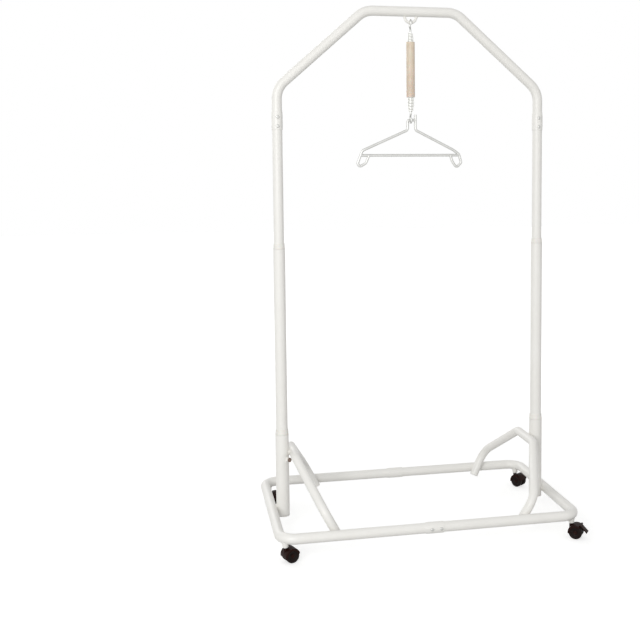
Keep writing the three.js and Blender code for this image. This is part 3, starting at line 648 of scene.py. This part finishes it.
# Lock bolts: M8 hexagon bolts with a dark oxide finish. Each is driven through the welded nut of a
# socket against the lower post, and stops that post at the height it was set to.
bolt_radius = 4
bolt_tip = 17
bolt_point = 2
bolt_seat = 25.6
bolt_head_height = 4.5
bolt_head_radius = 6.3
bolt_face_radius = 6
bolt_face_foot = bolt_seat - 0.6
bolt_face_top = bolt_seat + 0.2
thread_pitch = 1.25
thread_root = bolt_radius - 0.6

# Black oxide on steel, oiled: brown and half dull, and worn through to a paler brown in patches.
black_oxide, oxide, oxide_shader = new_material(
    "oiled_black_oxide", {"Metallic": 0.8, "Roughness": 0.45})
oxide_wear = noise(oxide, cell=2.5, detail=4)
feed(oxide, oxide_shader, {"Base Color": blend(oxide, oxide_wear, "66544a", "948378")})

thread_foot = bolt_tip + bolt_point
thread = [(0, bolt_tip), (bolt_radius / 2, bolt_tip), (thread_root, thread_foot)]
for turn in range(int((bolt_seat - thread_foot) / thread_pitch)):
    foot = thread_foot + turn * thread_pitch
    thread += [(bolt_radius, foot + thread_pitch / 2), (thread_root, foot + thread_pitch)]
lock_bolt = merged("lock_bolt", [
    turned("bolt_shank", [*thread, (thread_root, bolt_seat), (0, bolt_seat)], rod_sides),
    hexagon("bolt_head", bolt_seat, bolt_seat + bolt_head_height, bolt_head_radius),
    turned("bolt_face", [(0, bolt_face_foot), (bolt_face_radius, bolt_face_foot),
                         (bolt_face_radius, bolt_face_top), (0, bolt_face_top)], small_sides)])
for side_name, side in SIDES.items():
    add_piece(f"lock_bolt_{side_name}", lock_bolt, black_oxide, "base",
              [f"post_bolt_{side_name}"], facing(post_point(side, bolt_height), bolt_way(side)))


# Corner braces: 25.4 mm tube, each bent into a bridge that leans inward. Its middle is welded to the
# inner side of the socket and its feet to the inner sides of the front and rear rails.
brace_radius = 12.7
brace_bridge = 232
brace_bridge_half = 68
brace_bridge_bend = 32
brace_elbow = 122
brace_elbow_bend = 60
brace_foot = 50
brace_lean = math.radians(28)
foot_lean = math.radians(13.3)
brace_x = post_half_spacing - socket_radius - seat_gap - brace_radius
brace_touch = brace_radius + seat_gap / 2
brace_rail_gap = (tube_radius + seat_gap + brace_radius) / math.cos(foot_lean)


def brace_stop(side, y, z, bend=0):
    x = side * (brace_x - (brace_bridge - z) * math.tan(brace_lean))
    return stop_at(Vector((x, y, z)), brace_radius, brace_radius - tube_wall, bend)


def leg_depth(z):
    return rail_half_depth - brace_rail_gap + (z - rail_height) * math.tan(foot_lean)


for side_name, side in SIDES.items():
    legs = []
    for depth_name, depth_side in DEPTHS.items():
        foot = brace_stop(side, depth_side * leg_depth(brace_foot), brace_foot)
        elbow = brace_stop(side, depth_side * leg_depth(brace_elbow), brace_elbow, brace_elbow_bend)
        bridge = brace_stop(side, depth_side * brace_bridge_half, brace_bridge, brace_bridge_bend)
        legs.append([foot, elbow, bridge])
        leg_way = (elbow["at"] - foot["at"]).normalized()
        centre = brace_stop(side, depth_side * leg_depth(rail_height), rail_height)["at"]
        normal = ACROSS.cross(leg_way).normalized()
        normal *= 1 if normal.y * depth_side > 0 else -1
        foot_path = crossing_path(centre + normal * brace_touch, normal, leg_way, brace_radius, ACROSS,
                                  tube_radius)
        add_weld(f"brace_foot_weld_{depth_name}_{side_name}", foot_path, "base")
    brace_normal = Vector((-math.cos(brace_lean), 0, side * math.sin(brace_lean)))
    brace = tube(f"brace_tube_{side_name}", [*legs[0], *legs[1][::-1]], brace_normal)
    add_coated(brace.name, brace, "base", [f"brace_{side_name}"])
    bridge_touch = Vector((side * (brace_x + brace_touch), 0, brace_bridge))
    bridge_path = crossing_path(bridge_touch, ACROSS * side, REARWARD, brace_radius, UP, socket_radius)
    add_weld(f"bridge_weld_{side_name}", bridge_path, "base")


# Lower posts: 33.4 mm tube that slides in the sockets. A boss welded to the back of each takes the
# screw that clamps the upper post, and a moulded bush closes the gap at the top.
lower_bore = 15.5
lower_radius = 16.7
lower_foot = 52.3
lower_top = 822.7
clamp_height = 782.7
clamp_hole_radius = 3.3
clamp_boss_radius = 6.5
clamp_boss_foot = lower_radius - 1
clamp_boss_face = 20.7
clamp_weld_radius = clamp_boss_radius + 0.3
clamp_screw_radius = 3
clamp_screw_length = 6.4
clamp_head = 6
clamp_head_height = 3

clamp_boss = turned("clamp_boss", [
    (clamp_hole_radius, clamp_boss_foot), (clamp_boss_radius, clamp_boss_foot),
    (clamp_boss_radius, clamp_boss_face - EDGE),
    (clamp_boss_radius - EDGE, clamp_boss_face), (clamp_hole_radius, clamp_boss_face)],
    small_sides)
clamp_screw = pan_screw("clamp_screw", clamp_screw_radius, clamp_screw_length, clamp_head,
                        clamp_head_height)
post_bush = collar_bush("post_bush", lower_bore, lower_radius, lower_top)
for side_name, side in SIDES.items():
    clamp_point = post_point(side, clamp_height)
    clamp_place = facing(clamp_point, REARWARD)
    post = upright(f"lower_tube_{side_name}", side, lower_foot, lower_top, lower_radius, lower_bore)
    add_coated(f"lower_tube_{side_name}", cut(post, drill(clamp_hole_radius, clamp_place)),
               "lower_posts", [f"lower_post_{side_name}"])
    add_coated(f"clamp_boss_{side_name}", clamp_boss, "lower_posts", place=clamp_place)
    clamp_path = collar_path(clamp_point, REARWARD, clamp_weld_radius, UP, lower_radius)
    add_weld(f"clamp_weld_{side_name}", clamp_path, "lower_posts", small_bead)
    add_moulded(f"post_collar_{side_name}", post_bush, side, "lower_posts", f"post_bush_{side_name}")
    clamp_seat = clamp_point + REARWARD * (clamp_boss_face + seat_gap)
    add_screw(f"clamp_head_{side_name}", clamp_screw, "lower_posts", f"clamp_screw_{side_name}",
              clamp_seat, REARWARD)


# Upper posts and arch: 28.6 mm tube. The arch is one length with two shoulders and a level top, and
# its legs are swaged open over the tops of the upper posts.
upper_foot = 662.7
upper_top = 1203
arch_mouth = 1160
arch_swage_top = 1205
arch_shoulder = 1275.7
arch_top = 1497.6
arch_top_half = 134.3
arch_bend = 65

for side_name, side in SIDES.items():
    post = upright(f"upper_tube_{side_name}", side, upper_foot, upper_top, tube_radius,
                   tube_radius - tube_wall)
    add_coated(post.name, post, "arch_frame", [f"upper_post_{side_name}"])


def arch_leg(side):
    mouth = [mouth_stop(post_point(side, z)) for z in (arch_mouth, arch_swage_top)]
    return [
        *swage(mouth, plain_stop(post_point(side, arch_swage_top + swage_taper))),
        plain_stop(post_point(side, arch_shoulder), arch_bend),
        plain_stop(Vector((side * arch_top_half, 0, arch_top)), arch_bend),
    ]


arch = tube("arch_tube", [*arch_leg(-1), *arch_leg(1)[::-1]], REARWARD)
add_coated("arch_tube", arch, "arch_frame", ["arch"])


# Half ring: 8 mm steel rod, bent to a U and welded under the middle of the arch before both are
# coated. It carries the spring's top hook.
ring_rod = 4
ring_radius = 17
ring_pivot = 1466.3
ring_end = arch_top - 12
ring_weld_radius = ring_rod + 0.6
ring_bead = 1.2


def ring_leg(side):
    return [stop_at(Vector((side * ring_radius, 0, ring_end)), ring_rod),
            stop_at(Vector((side * ring_radius, 0, ring_pivot)), ring_rod, bend=ring_radius)]


half_ring = tube("half_ring", [*ring_leg(-1), *ring_leg(1)[::-1]], REARWARD, rod_sides)
add_coated("half_ring", half_ring, "arch_frame", ["hook_ring"])
for side_name, side in SIDES.items():
    ring_path = collar_path(Vector((side * ring_radius, 0, arch_top)), -UP, ring_weld_radius, ACROSS,
                            tube_radius)
    add_weld(f"ring_weld_{side_name}", ring_path, "arch_frame", ring_bead)


# Spring and hooks: a close-wound extension spring of 3.8 mm wire. Its coned ends are wound over the
# tapered plugs of two bent hooks, of which the lower one carries the hanger.
hook_rod = 3
hook_bend = 7
hook_tip_share = 0.26
hook_side_share = 0.42
hook_neck_share = 0.8
# The rounded tip of a hook: how far from its end, and the share of the rod's radius there
hook_tip = [(0, 0.65), (0.8, 0.9), (1.5, 1)]
spring_top = 1439.3
spring_bottom = 1211.3
hanger_pivot = 1188.3
hanger_rod = 4
wire_radius = 1.9
wire_sides = 12
coil_radius = 10.1 - wire_radius
coil_pitch = 2 * wire_radius + 0.45
coil_steps = 24
top_cone = 28
bottom_cone = 22
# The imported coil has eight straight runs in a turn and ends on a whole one. The middle of a run lies
# nearer to the axis than its ends, by this share
coil_runs = 8
run_share = math.cos(math.pi / coil_runs)
coil_end_radius = (hook_rod + seat_gap) / run_share + wire_radius

# Drawn spring wire with a thin zinc plate: smoother than the screws, so it is paler and glossier, and
# its gloss changes in 4 mm patches.
spring_wire, wire, wire_shader = new_material("plated_spring_wire", {"Metallic": 1})
wire_grain = noise(wire, cell=4, detail=3)
feed(wire, wire_shader, {
    "Base Color": blend(wire, wire_grain, "efefec", "dededa"),
    "Roughness": ramp(wire, wire_grain, 0.32, 0.5),
})


def coil_radius_at(height):
    cone_share = min(1, (spring_top - height) / top_cone, (height - spring_bottom) / bottom_cone)
    return coil_end_radius + (coil_radius - coil_end_radius) * cone_share


def hook(name, pivot, toward_spring, neck, cone, rod_there):
    """A hook round the rod that it hangs on or carries, with a plug in the coned end of the spring."""
    arc = rod_there + seat_gap + hook_rod
    plug_bore = coil_radius_at(pivot + toward_spring * (neck + cone)) - wire_radius

    def hook_stop(y, reach, radius=hook_rod, bend=0):
        return stop_at(Vector((0, y, pivot + toward_spring * reach)), radius, bend=bend)

    return tube(name, [
        *(hook_stop(-arc, neck * hook_tip_share - drop, hook_rod * share) for drop, share in hook_tip),
        hook_stop(-arc, -arc, bend=arc),
        hook_stop(arc, -arc, bend=arc),
        hook_stop(arc, neck * hook_side_share, bend=hook_bend),
        hook_stop(0, neck * hook_neck_share, bend=hook_bend),
        hook_stop(0, neck),
        hook_stop(0, neck + cone, plug_bore * run_share - seat_gap),
    ], ACROSS, rod_sides)


top_hook = hook("top_hook_rod", ring_pivot, -1, ring_pivot - spring_top, top_cone, ring_rod)
add_piece("top_hook_rod", top_hook, zinc_plate, "top_hook", ["top_hook"])
bottom_hook = hook("bottom_hook_rod", hanger_pivot, 1, spring_bottom - hanger_pivot, bottom_cone,
                   hanger_rod)
add_piece("bottom_hook_rod", bottom_hook, zinc_plate, "bottom_hook", ["bottom_hook"])

coil_foot = spring_bottom + wire_radius
coil_rise = spring_top - spring_bottom - 2 * wire_radius
coil_count = round(coil_rise / coil_pitch * coil_runs) * coil_steps // coil_runs
coil_rings = []
for step in range(coil_count + 1):
    turn = 2 * math.pi * step / coil_steps
    height = coil_foot + coil_rise * step / coil_count
    outward = Vector((math.cos(turn), math.sin(turn), 0))
    radius = coil_radius_at(height)
    along = Vector((-math.sin(turn), math.cos(turn), coil_pitch / (2 * math.pi * radius))).normalized()
    centre = outward * radius + UP * height
    coil_rings.append(circle(centre, outward, along.cross(outward), wire_radius, wire_sides))
spring = add_piece("coiled_spring", skin("coiled_spring", coil_rings, closed=False), spring_wire, None,
                   ["spring"])
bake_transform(spring)


# Sleeve: 157 mm of soft hose over the upper part of the coil. It keeps fingers out of the turns, and
# it stays at the top when the spring is stretched.
sleeve_top = spring_top - top_cone
sleeve_foot = sleeve_top - 157
sleeve_bore = 10.77
sleeve_radius = sleeve_bore + 1.5

# Soft PVC, tan and half matt. Handling has clouded it, and it is paler above and pinker below.
tan_hose, hose, hose_shader = new_material(
    "soft_pvc_hose", {"Subsurface Weight": 0.1, "Subsurface Scale": 0.003})
hose_split = add_node(hose, "ShaderNodeSeparateXYZ", {}, {0: object_place(hose)})
hose_height = ramp(hose, hose_split.outputs[2], 0, 1, start=sleeve_foot * MM, end=sleeve_top * MM)
hose_fade = blend(hose, hose_height, "d7c3b2", "dccfbb")
hose_cloud = noise(hose, cell=18, detail=5)
hose_mask = ramp(hose, hose_cloud, 0, 0.55, start=0.45, end=0.75)
feed(hose, hose_shader, {
    "Base Color": blend(hose, hose_mask, hose_fade, "cbbba3"),
    "Roughness": ramp(hose, hose_cloud, 0.42, 0.6),
})
sleeve = upright("spring_hose", 0, sleeve_foot, sleeve_top, sleeve_radius, sleeve_bore)
add_piece("spring_hose", sleeve, tan_hose, "spring", ["spring_sleeve"])


# Hanger: 8 mm wire. Two bent wires meet at a short bar that lies in the hook, run down to the
# shoulders and turn back in a loop for the cradle's straps, and a straight bar joins them.
hanger_half_span = 153.5
hanger_drop = 132.5
risers = {"left": 9.5, "right": 13.5}
hanger_shift = 4.2
riser_drop = 28.5
riser_top = 16
riser_bend = 10
riser_head_bend = 5.5
shoulder_bend = 15
eye_bend = 7
bar_share = 0.765
bar_reach_shares = {"left": 0.945, "right": 0.968}
# The stops of each arm below its riser: a share of the half span, one of the drop, and a bend
arm_shares = {
    "left": [(0.91, 0.661, shoulder_bend), (1, 0.93, eye_bend), (0.969, 1.02, eye_bend),
             (0.844, 0.93, eye_bend), (0.781, bar_share, 0)],
    "right": [(0.855, 0.648, shoulder_bend), (0.967, 0.739, shoulder_bend), (1.014, 0.928, eye_bend),
              (0.918, 1.044, eye_bend), (0.834, 0.893, eye_bend), (0.8, bar_share, 0)],
}


def hanger_stop(x, z, bend=0):
    return stop_at(Vector((x, 0, z)), hanger_rod, bend=bend)


def share_stop(side_name, across, down, bend=0):
    """A stop at a share of the hanger's half span and a share of its drop."""
    return hanger_stop(SIDES[side_name] * hanger_half_span * across - hanger_shift,
                       hanger_pivot - hanger_drop * down, bend)


def hanger_arm(side_name):
    riser_x = SIDES[side_name] * risers[side_name]
    return [hanger_stop(riser_x, hanger_pivot - riser_drop, riser_bend),
            *(share_stop(side_name, *shares) for shares in arm_shares[side_name])]


left_wire = tube("left_wire", [
    hanger_stop(risers["right"], hanger_pivot),
    hanger_stop(-risers["left"], hanger_pivot, riser_head_bend),
    *hanger_arm("left")], REARWARD, rod_sides)
right_wire = tube("right_wire", [
    hanger_stop(risers["right"], hanger_pivot + riser_top),
    *hanger_arm("right")], REARWARD, rod_sides)
cross_wire = tube("cross_wire", [
    share_stop(side_name, reach, bar_share) for side_name, reach in bar_reach_shares.items()],
    REARWARD, rod_sides)
hanger = merged("wire_hanger", [left_wire, right_wire, cross_wire])
add_piece("wire_hanger", hanger, zinc_plate, "hanger", ["hanger"])


# Casters: 38 mm twin-wheel furniture casters with moulded hoods over solid wheels. Each hood turns on
# a zinc-plated stem pressed into a boss of the rail, and black caps cover the axle's ends.
trail = 14.5
wheel_radius = 19
wheel_width = 10.5
wheel_sides = 72
# The wheel's outline, as steps in from its tread and from its back or its face
wheel_back_edge = [(0.8, 0), (0.2, 0.3), (0, 0.9)]
wheel_face_edge = [(0, 1.8), (0.25, 1.1), (0.75, 0.45), (1.5, 0)]
wheel_dish = [(4.6, 0), (5.2, 0.5), (7.5, 1.4), (7.9, 1.9), (8.7, 1.9), (9.1, 1.5)]
hub_radius = 6.6
hub_edge = 0.5
hub_drop = 2.2
eye_drop = 2.5
cover_bore = 19.7
cover_radius = 21.5
cover_corner = 2.2
corner_steps = 5
cover_step = math.radians(4)
cover_front = math.radians(190)
cover_back = math.radians(15)
braked_back = math.radians(52)
web_half = 5.75
web_foot = 1
web_top = cover_bore + 0.9
web_disc = 14
hub_face = web_half + seat_gap + wheel_width
lip_face = hub_face + seat_gap
lip_foot = cover_radius - 6.5
lip_draft = 0.8
hood_half = lip_face + 1.5
housing_top = wheel_radius + cover_radius
housing_foot = housing_top - 18.3
housing_bore = 3.8
housing_edge = 0.6
axle_radius = 2.5
axle_eye = axle_radius + seat_gap
axle_place = Vector((trail, 0, wheel_radius))
axle_head_height = 0.8
axle_end = hub_face - eye_drop + seat_gap + axle_head_height
# One end of the axle, as radii and steps in from its tip
axle_head = [(0, 0), (2.2, 0), (3.6, 0.3), (4.2, axle_head_height), (axle_radius, axle_head_height)]
# The cap's outline over the axle's tip, and the stem's over its housing, as radii and heights
cap_outline = [(0, 0.1), (4.4, 0.1), (4.4, -1), (5.6, -1), (5.6, 0.2), (5.1, 0.6), (3, 0.7), (0, 0.7)]
stem_outline = [
    (0, -18), (3.1, -18), (3.5, -17.6), (3.5, 0.3), (5.7, 0.3), (6, 0.6), (6, 1.6), (5.7, 1.9),
    (4, 1.9), (4, 16.7), (3.4, 17.3), (0, 17.3)]
pedal_hub = 2.2
pedal_pivot = math.radians(55)
pedal_pivot_radius = cover_radius + seat_gap + pedal_hub
lug_offset = 12
lug_half = 1
lug_bore = 1.6
lug_radius = 3
lug_edge = 0.3
lug_width = 5.4
lug_sink = 1.2
caster_yaws = {"front_left": 20, "front_right": -35, "rear_left": -30, "rear_right": -55}

# Injection-moulded ABS, brown-black and half dull. Its mould's fine texture is drawn 1.5 mm wide, and
# dust makes it a little paler in patches.
moulded_black, abs_tree, abs_shader = new_material("moulded_abs", {"Specular IOR Level": 0.09})
abs_dust = noise(abs_tree, cell=14, detail=4)
feed(abs_tree, abs_shader, {
    "Base Color": blend(abs_tree, abs_dust, "1a0704", "230d08"),
    "Roughness": ramp(abs_tree, abs_dust, 0.38, 0.56),
    "Normal": bump(abs_tree, noise(abs_tree, cell=1.5, detail=2), strength=0.15, depth=0.04),
})

# Hard polyamide treads: black, duller than the hoods and scuffed a little paler in patches.
tread_nylon, nylon, nylon_shader = new_material("polyamide_tread", {"Specular IOR Level": 0.12})
nylon_scuff = noise(nylon, cell=4, detail=6)
feed(nylon, nylon_shader, {
    "Base Color": blend(nylon, nylon_scuff, "0e0807", "1d1411"),
    "Roughness": ramp(nylon, nylon_scuff, 0.48, 0.7),
})


def from_axle(radius, angle, y):
    return axle_place + Vector((radius * math.cos(angle), y, radius * math.sin(angle)))


def swept_section(name, section, start, end):
    """A section of (y, radius) points, swept round the axle from one angle to another."""
    steps = math.ceil((end - start) / cover_step)
    angles = [start + (end - start) * step / steps for step in range(steps + 1)]
    rings = [[from_axle(radius, angle, y) for y, radius in section] for angle in angles]
    return skin(name, rings, closed=False)


def hood_mesh(name, back):
    """A hood over both wheels, with the web between them and the housing of the stem."""
    outside = [(hood_half - EDGE, lip_foot), (hood_half, lip_foot + EDGE)]
    for angle in (math.pi / 2 * step / corner_steps for step in range(corner_steps + 1)):
        outside.append((hood_half - cover_corner * (1 - math.cos(angle)),
                        cover_radius - cover_corner * (1 - math.sin(angle))))
    outside += [(-y, radius) for y, radius in reversed(outside)]
    inside = [(-lip_face, lip_foot), (lip_draft - lip_face, cover_bore),
              (lip_face - lip_draft, cover_bore), (lip_face, lip_foot)]
    cover = swept_section("cover", outside + inside, back, cover_front)
    web = swept_section("web", [(-web_half, web_foot), (web_half, web_foot), (web_half, web_top),
                                (-web_half, web_top)], back, cover_front)
    disc = turned("disc", barrel(axle_eye, web_disc, web_half))
    disc.transform(facing(axle_place, REARWARD))
    housing = turned("housing", [
        (housing_bore, housing_foot), (web_half, housing_foot), (web_half, housing_top - housing_edge),
        (web_half - housing_edge, housing_top), (housing_bore, housing_top)])
    return merged(name, [cover, web, disc, housing])


def wheel_mesh():
    """A wheel with a rounded tread, a dished face with a ring groove, and a raised hub."""
    back = [(wheel_radius - inset, rise) for inset, rise in wheel_back_edge]
    face = [(wheel_radius - inset, wheel_width - drop)
            for inset, drop in [*wheel_face_edge, *wheel_dish]]
    eye_face = wheel_width - eye_drop
    return turned("caster_wheel", [
        (axle_eye, 0), *back, *face, (hub_radius, wheel_width - hub_drop),
        (hub_radius - hub_edge, eye_face), (axle_eye, eye_face)], wheel_sides)


def block(name, middle, turn, size, rounding=0):
    """A block about its middle, turned about Y, with its edges rounded where asked."""
    shape = bmesh.new()
    place = Matrix.Translation(middle * MM) @ Matrix.Rotation(turn, 4, "Y")
    bmesh.ops.create_cube(shape, size=1, matrix=place @ Matrix.Diagonal((*(size * MM), 1)))
    if rounding:
        bmesh.ops.bevel(shape, geom=shape.edges, offset=rounding * MM, segments=3, affect="EDGES",
                        profile=0.5)
    return mesh_from(name, shape)


def pedal_lug(y):
    """An ear of the braked hood, which holds one end of the pedal's pin."""
    eye = turned("eye", barrel(lug_bore, lug_radius, lug_half, lug_edge), small_sides)
    eye.transform(facing(from_axle(pedal_pivot_radius, pedal_pivot, y), REARWARD))
    reach = pedal_pivot_radius - cover_radius
    middle = from_axle(pedal_pivot_radius - lug_bore - reach / 2, pedal_pivot, y)
    size = Vector((lug_width, 2 * lug_half, reach + lug_sink))
    return [eye, block("root", middle, math.pi / 2 - pedal_pivot, size)]


def caster_place(corner_name):
    """The place of a caster, turned about its stem."""
    depth_name, side_name = corner_name.split("_")
    corner = corner_point(SIDES[side_name], DEPTHS[depth_name])
    turn = Matrix.Rotation(math.radians(caster_yaws[corner_name]), 4, "Z")
    return Matrix.Translation(corner * MM) @ turn


plain_hood = hood_mesh("caster_hood", cover_back)
braked_hood = merged("braked_hood", [
    hood_mesh("braked_cover", braked_back), *pedal_lug(lug_offset), *pedal_lug(-lug_offset)])
wheel = wheel_mesh()
axle = turned("caster_axle", [
    *((radius, inset - axle_end) for radius, inset in axle_head),
    *((radius, axle_end - inset) for radius, inset in reversed(axle_head))], small_sides)
hub_cap = turned(
    "hub_cap", [(radius, axle_end + rise) for radius, rise in cap_outline], small_sides)
stem = turned(
    "caster_stem", [(radius, housing_top + rise) for radius, rise in stem_outline], small_sides)

for corner_name in caster_yaws:
    place = caster_place(corner_name)
    body = f"caster_{corner_name}"
    hood = braked_hood if corner_name == "front_right" else plain_hood
    add_piece(f"hood_{corner_name}", hood, moulded_black, body,
              [f"caster_hood_{corner_name}"], place)
    add_piece(f"stem_{corner_name}", stem, zinc_plate, "base",
              [f"caster_stem_{corner_name}"], place)
    add_piece(f"axle_{corner_name}", axle, zinc_plate, body,
              [f"caster_axle_{corner_name}"], place @ facing(axle_place, REARWARD))
    for wheel_name, face in (("near", -REARWARD), ("far", REARWARD)):
        add_piece(f"hub_cap_{corner_name}_{wheel_name}", hub_cap, moulded_black, body,
                  place=place @ facing(axle_place, face))
        wheel_place = facing(axle_place + face * (web_half + seat_gap), face)
        add_piece(f"wheel_tread_{corner_name}_{wheel_name}", wheel, tread_nylon,
                  f"wheel_{corner_name}_{wheel_name}",
                  [f"caster_wheel_{corner_name}_{wheel_name}"], place @ wheel_place)


# Brake pedal: a flap moulded in one with its pin, which turns in the two ears of the front right hood.
# Pressed down, its back bears on both treads, and three ridges keep the shoe from slipping off it.
pedal_half = 10.7
pedal_thickness = 2.4
pedal_tip_radius = 31
pedal_tip = math.radians(3)
pin_half = pedal_half + seat_gap + 2
pin_radius = 1.3
pin_edge = 0.2
toe_radius = 1.8
toe_edge = 0.6
ridge_shares = (0.5, 0.64, 0.78)
ridge_half = pedal_half - 1.2
ridge_radius = 0.75
ridge_rise_share = 0.4


def across_bar(name, centre, half_width, radius, edge=0.4):
    """A bar along Y with broken edges."""
    bar = turned(name, barrel(0, radius, half_width, edge), rod_sides)
    bar.transform(facing(centre, REARWARD))
    return bar


pedal_root = from_axle(pedal_pivot_radius, pedal_pivot, 0)
pedal_toe = from_axle(pedal_tip_radius, pedal_tip, 0)
pedal_run = pedal_toe - pedal_root
pedal_out = pedal_run.cross(REARWARD).normalized()
pedal_out *= 1 if pedal_out.z > 0 else -1
ridge_foot = pedal_root + pedal_out * pedal_thickness * ridge_rise_share
flap_size = Vector((pedal_thickness, 2 * pedal_half, pedal_run.length))
pedal = merged("pedal_flap", [
    block("flap", pedal_root + pedal_run / 2, math.atan2(pedal_run.x, pedal_run.z), flap_size,
          EDGE),
    *(across_bar("ridge", ridge_foot + pedal_run * share, ridge_half, ridge_radius)
      for share in ridge_shares),
    across_bar("hub", pedal_root, pedal_half, pedal_hub),
    across_bar("pin", pedal_root, pin_half, pin_radius, pin_edge),
    across_bar("toe", pedal_toe, pedal_half, toe_radius, toe_edge)])
add_piece("pedal_flap", pedal, moulded_black, "brake_pedal", ["brake_pedal"],
          caster_place("front_right"))


# Studio: a white floor that runs into a white sky. A broad soft lamp stands in front on the left, a
# weak one on the right and a broad one behind, and the sky adds an even light. The floor keeps the
# stand's shadow.
floor_half = 14
floor_drop = 0.0002
floor_glow_near = 0.61
floor_glow_far = 0.75
glow_start = 0.6
glow_end = 2.6
sky_light_level = 0.5
lamp_target = Vector((0, 0, 0.75))
# Each lamp's place, its width, and its power in watts
lamps = {
    "key": (Vector((-2.2, -3.7, 1.9)), 2.4, 107),
    "fill": (Vector((2.8, -2.6, 2.2)), 2.0, 10),
    "rear": (Vector((-1.6, 3.8, 2.6)), 3.0, 45),
}


def seen_plainly(tree):
    """1 for the rays that the camera, a reflection or a clear piece sees, and 0 for the light's own."""
    ray = add_node(tree, "ShaderNodeLightPath", {}, {})
    seen = ray.outputs["Is Camera Ray"]
    for kind in ("Is Glossy Ray", "Is Transmission Ray"):
        either = add_node(
            tree, "ShaderNodeMath", {"operation": "MAXIMUM"}, {0: seen, 1: ray.outputs[kind]})
        seen = either.outputs[0]
    return seen


floor_mesh = bpy.data.meshes.new("floor")
floor_corners = [(-1, -1), (1, -1), (1, 1), (-1, 1)]
floor_mesh.from_pydata([(x * floor_half, y * floor_half, 0) for x, y in floor_corners], [],
                       [(0, 1, 2, 3)])
floor = bpy.data.objects.new("floor", floor_mesh)
floor.location.z = -floor_drop
bpy.context.scene.collection.objects.link(floor)
# Matt white paint, whose glow grows away from the stand and hides the line between floor and sky
floor_paint, paint, paint_shader = new_material(
    "white_floor_paint", {"Base Color": linear("c3c3c2"), "Roughness": 0.7, "Specular IOR Level": 0.2})
paint_reach = add_node(
    paint, "ShaderNodeVectorMath", {"operation": "LENGTH"}, {0: object_place(paint)})
paint_fade = ramp(paint, paint_reach.outputs["Value"], floor_glow_near, floor_glow_far,
                  glow_start, glow_end, "SMOOTHSTEP")
paint_strength = add_node(
    paint, "ShaderNodeMath", {"operation": "MULTIPLY"}, {0: seen_plainly(paint), 1: paint_fade})
paint_glow = add_node(
    paint, "ShaderNodeEmission", {"Color": (1, 1, 1, 1)}, {"Strength": paint_strength.outputs[0]})
paint_sum = add_node(
    paint, "ShaderNodeAddShader", {}, {0: paint_shader.outputs[0], 1: paint_glow.outputs[0]})
paint.links.new(paint_sum.outputs[0], paint.nodes["Material Output"].inputs["Surface"])
# The glow lights nothing, so no light samples go to it, which keeps the paint free of speckle
floor_paint.cycles.emission_sampling = "NONE"
floor_mesh.materials.append(floor_paint)

sky = bpy.data.worlds.new("white_studio")
sky.use_nodes = True
bpy.context.scene.world = sky
sky_tree = sky.node_tree
sky_light = sky_tree.nodes["Background"]
sky_light.inputs["Color"].default_value = (1, 1, 1, 1)
sky_strength = ramp(sky_tree, seen_plainly(sky_tree), sky_light_level, 1, start=0, end=1)
feed(sky_tree, sky_light, {"Strength": sky_strength})

for lamp_name, (place, width, power) in lamps.items():
    light = bpy.data.lights.new(f"{lamp_name}_lamp", "AREA")
    light.size = width
    light.energy = power
    lamp = bpy.data.objects.new(f"{lamp_name}_lamp", light)
    lamp.location = place
    lamp.rotation_euler = (lamp_target - place).to_track_quat("-Z", "Y").to_euler()
    bpy.context.scene.collection.objects.link(lamp)
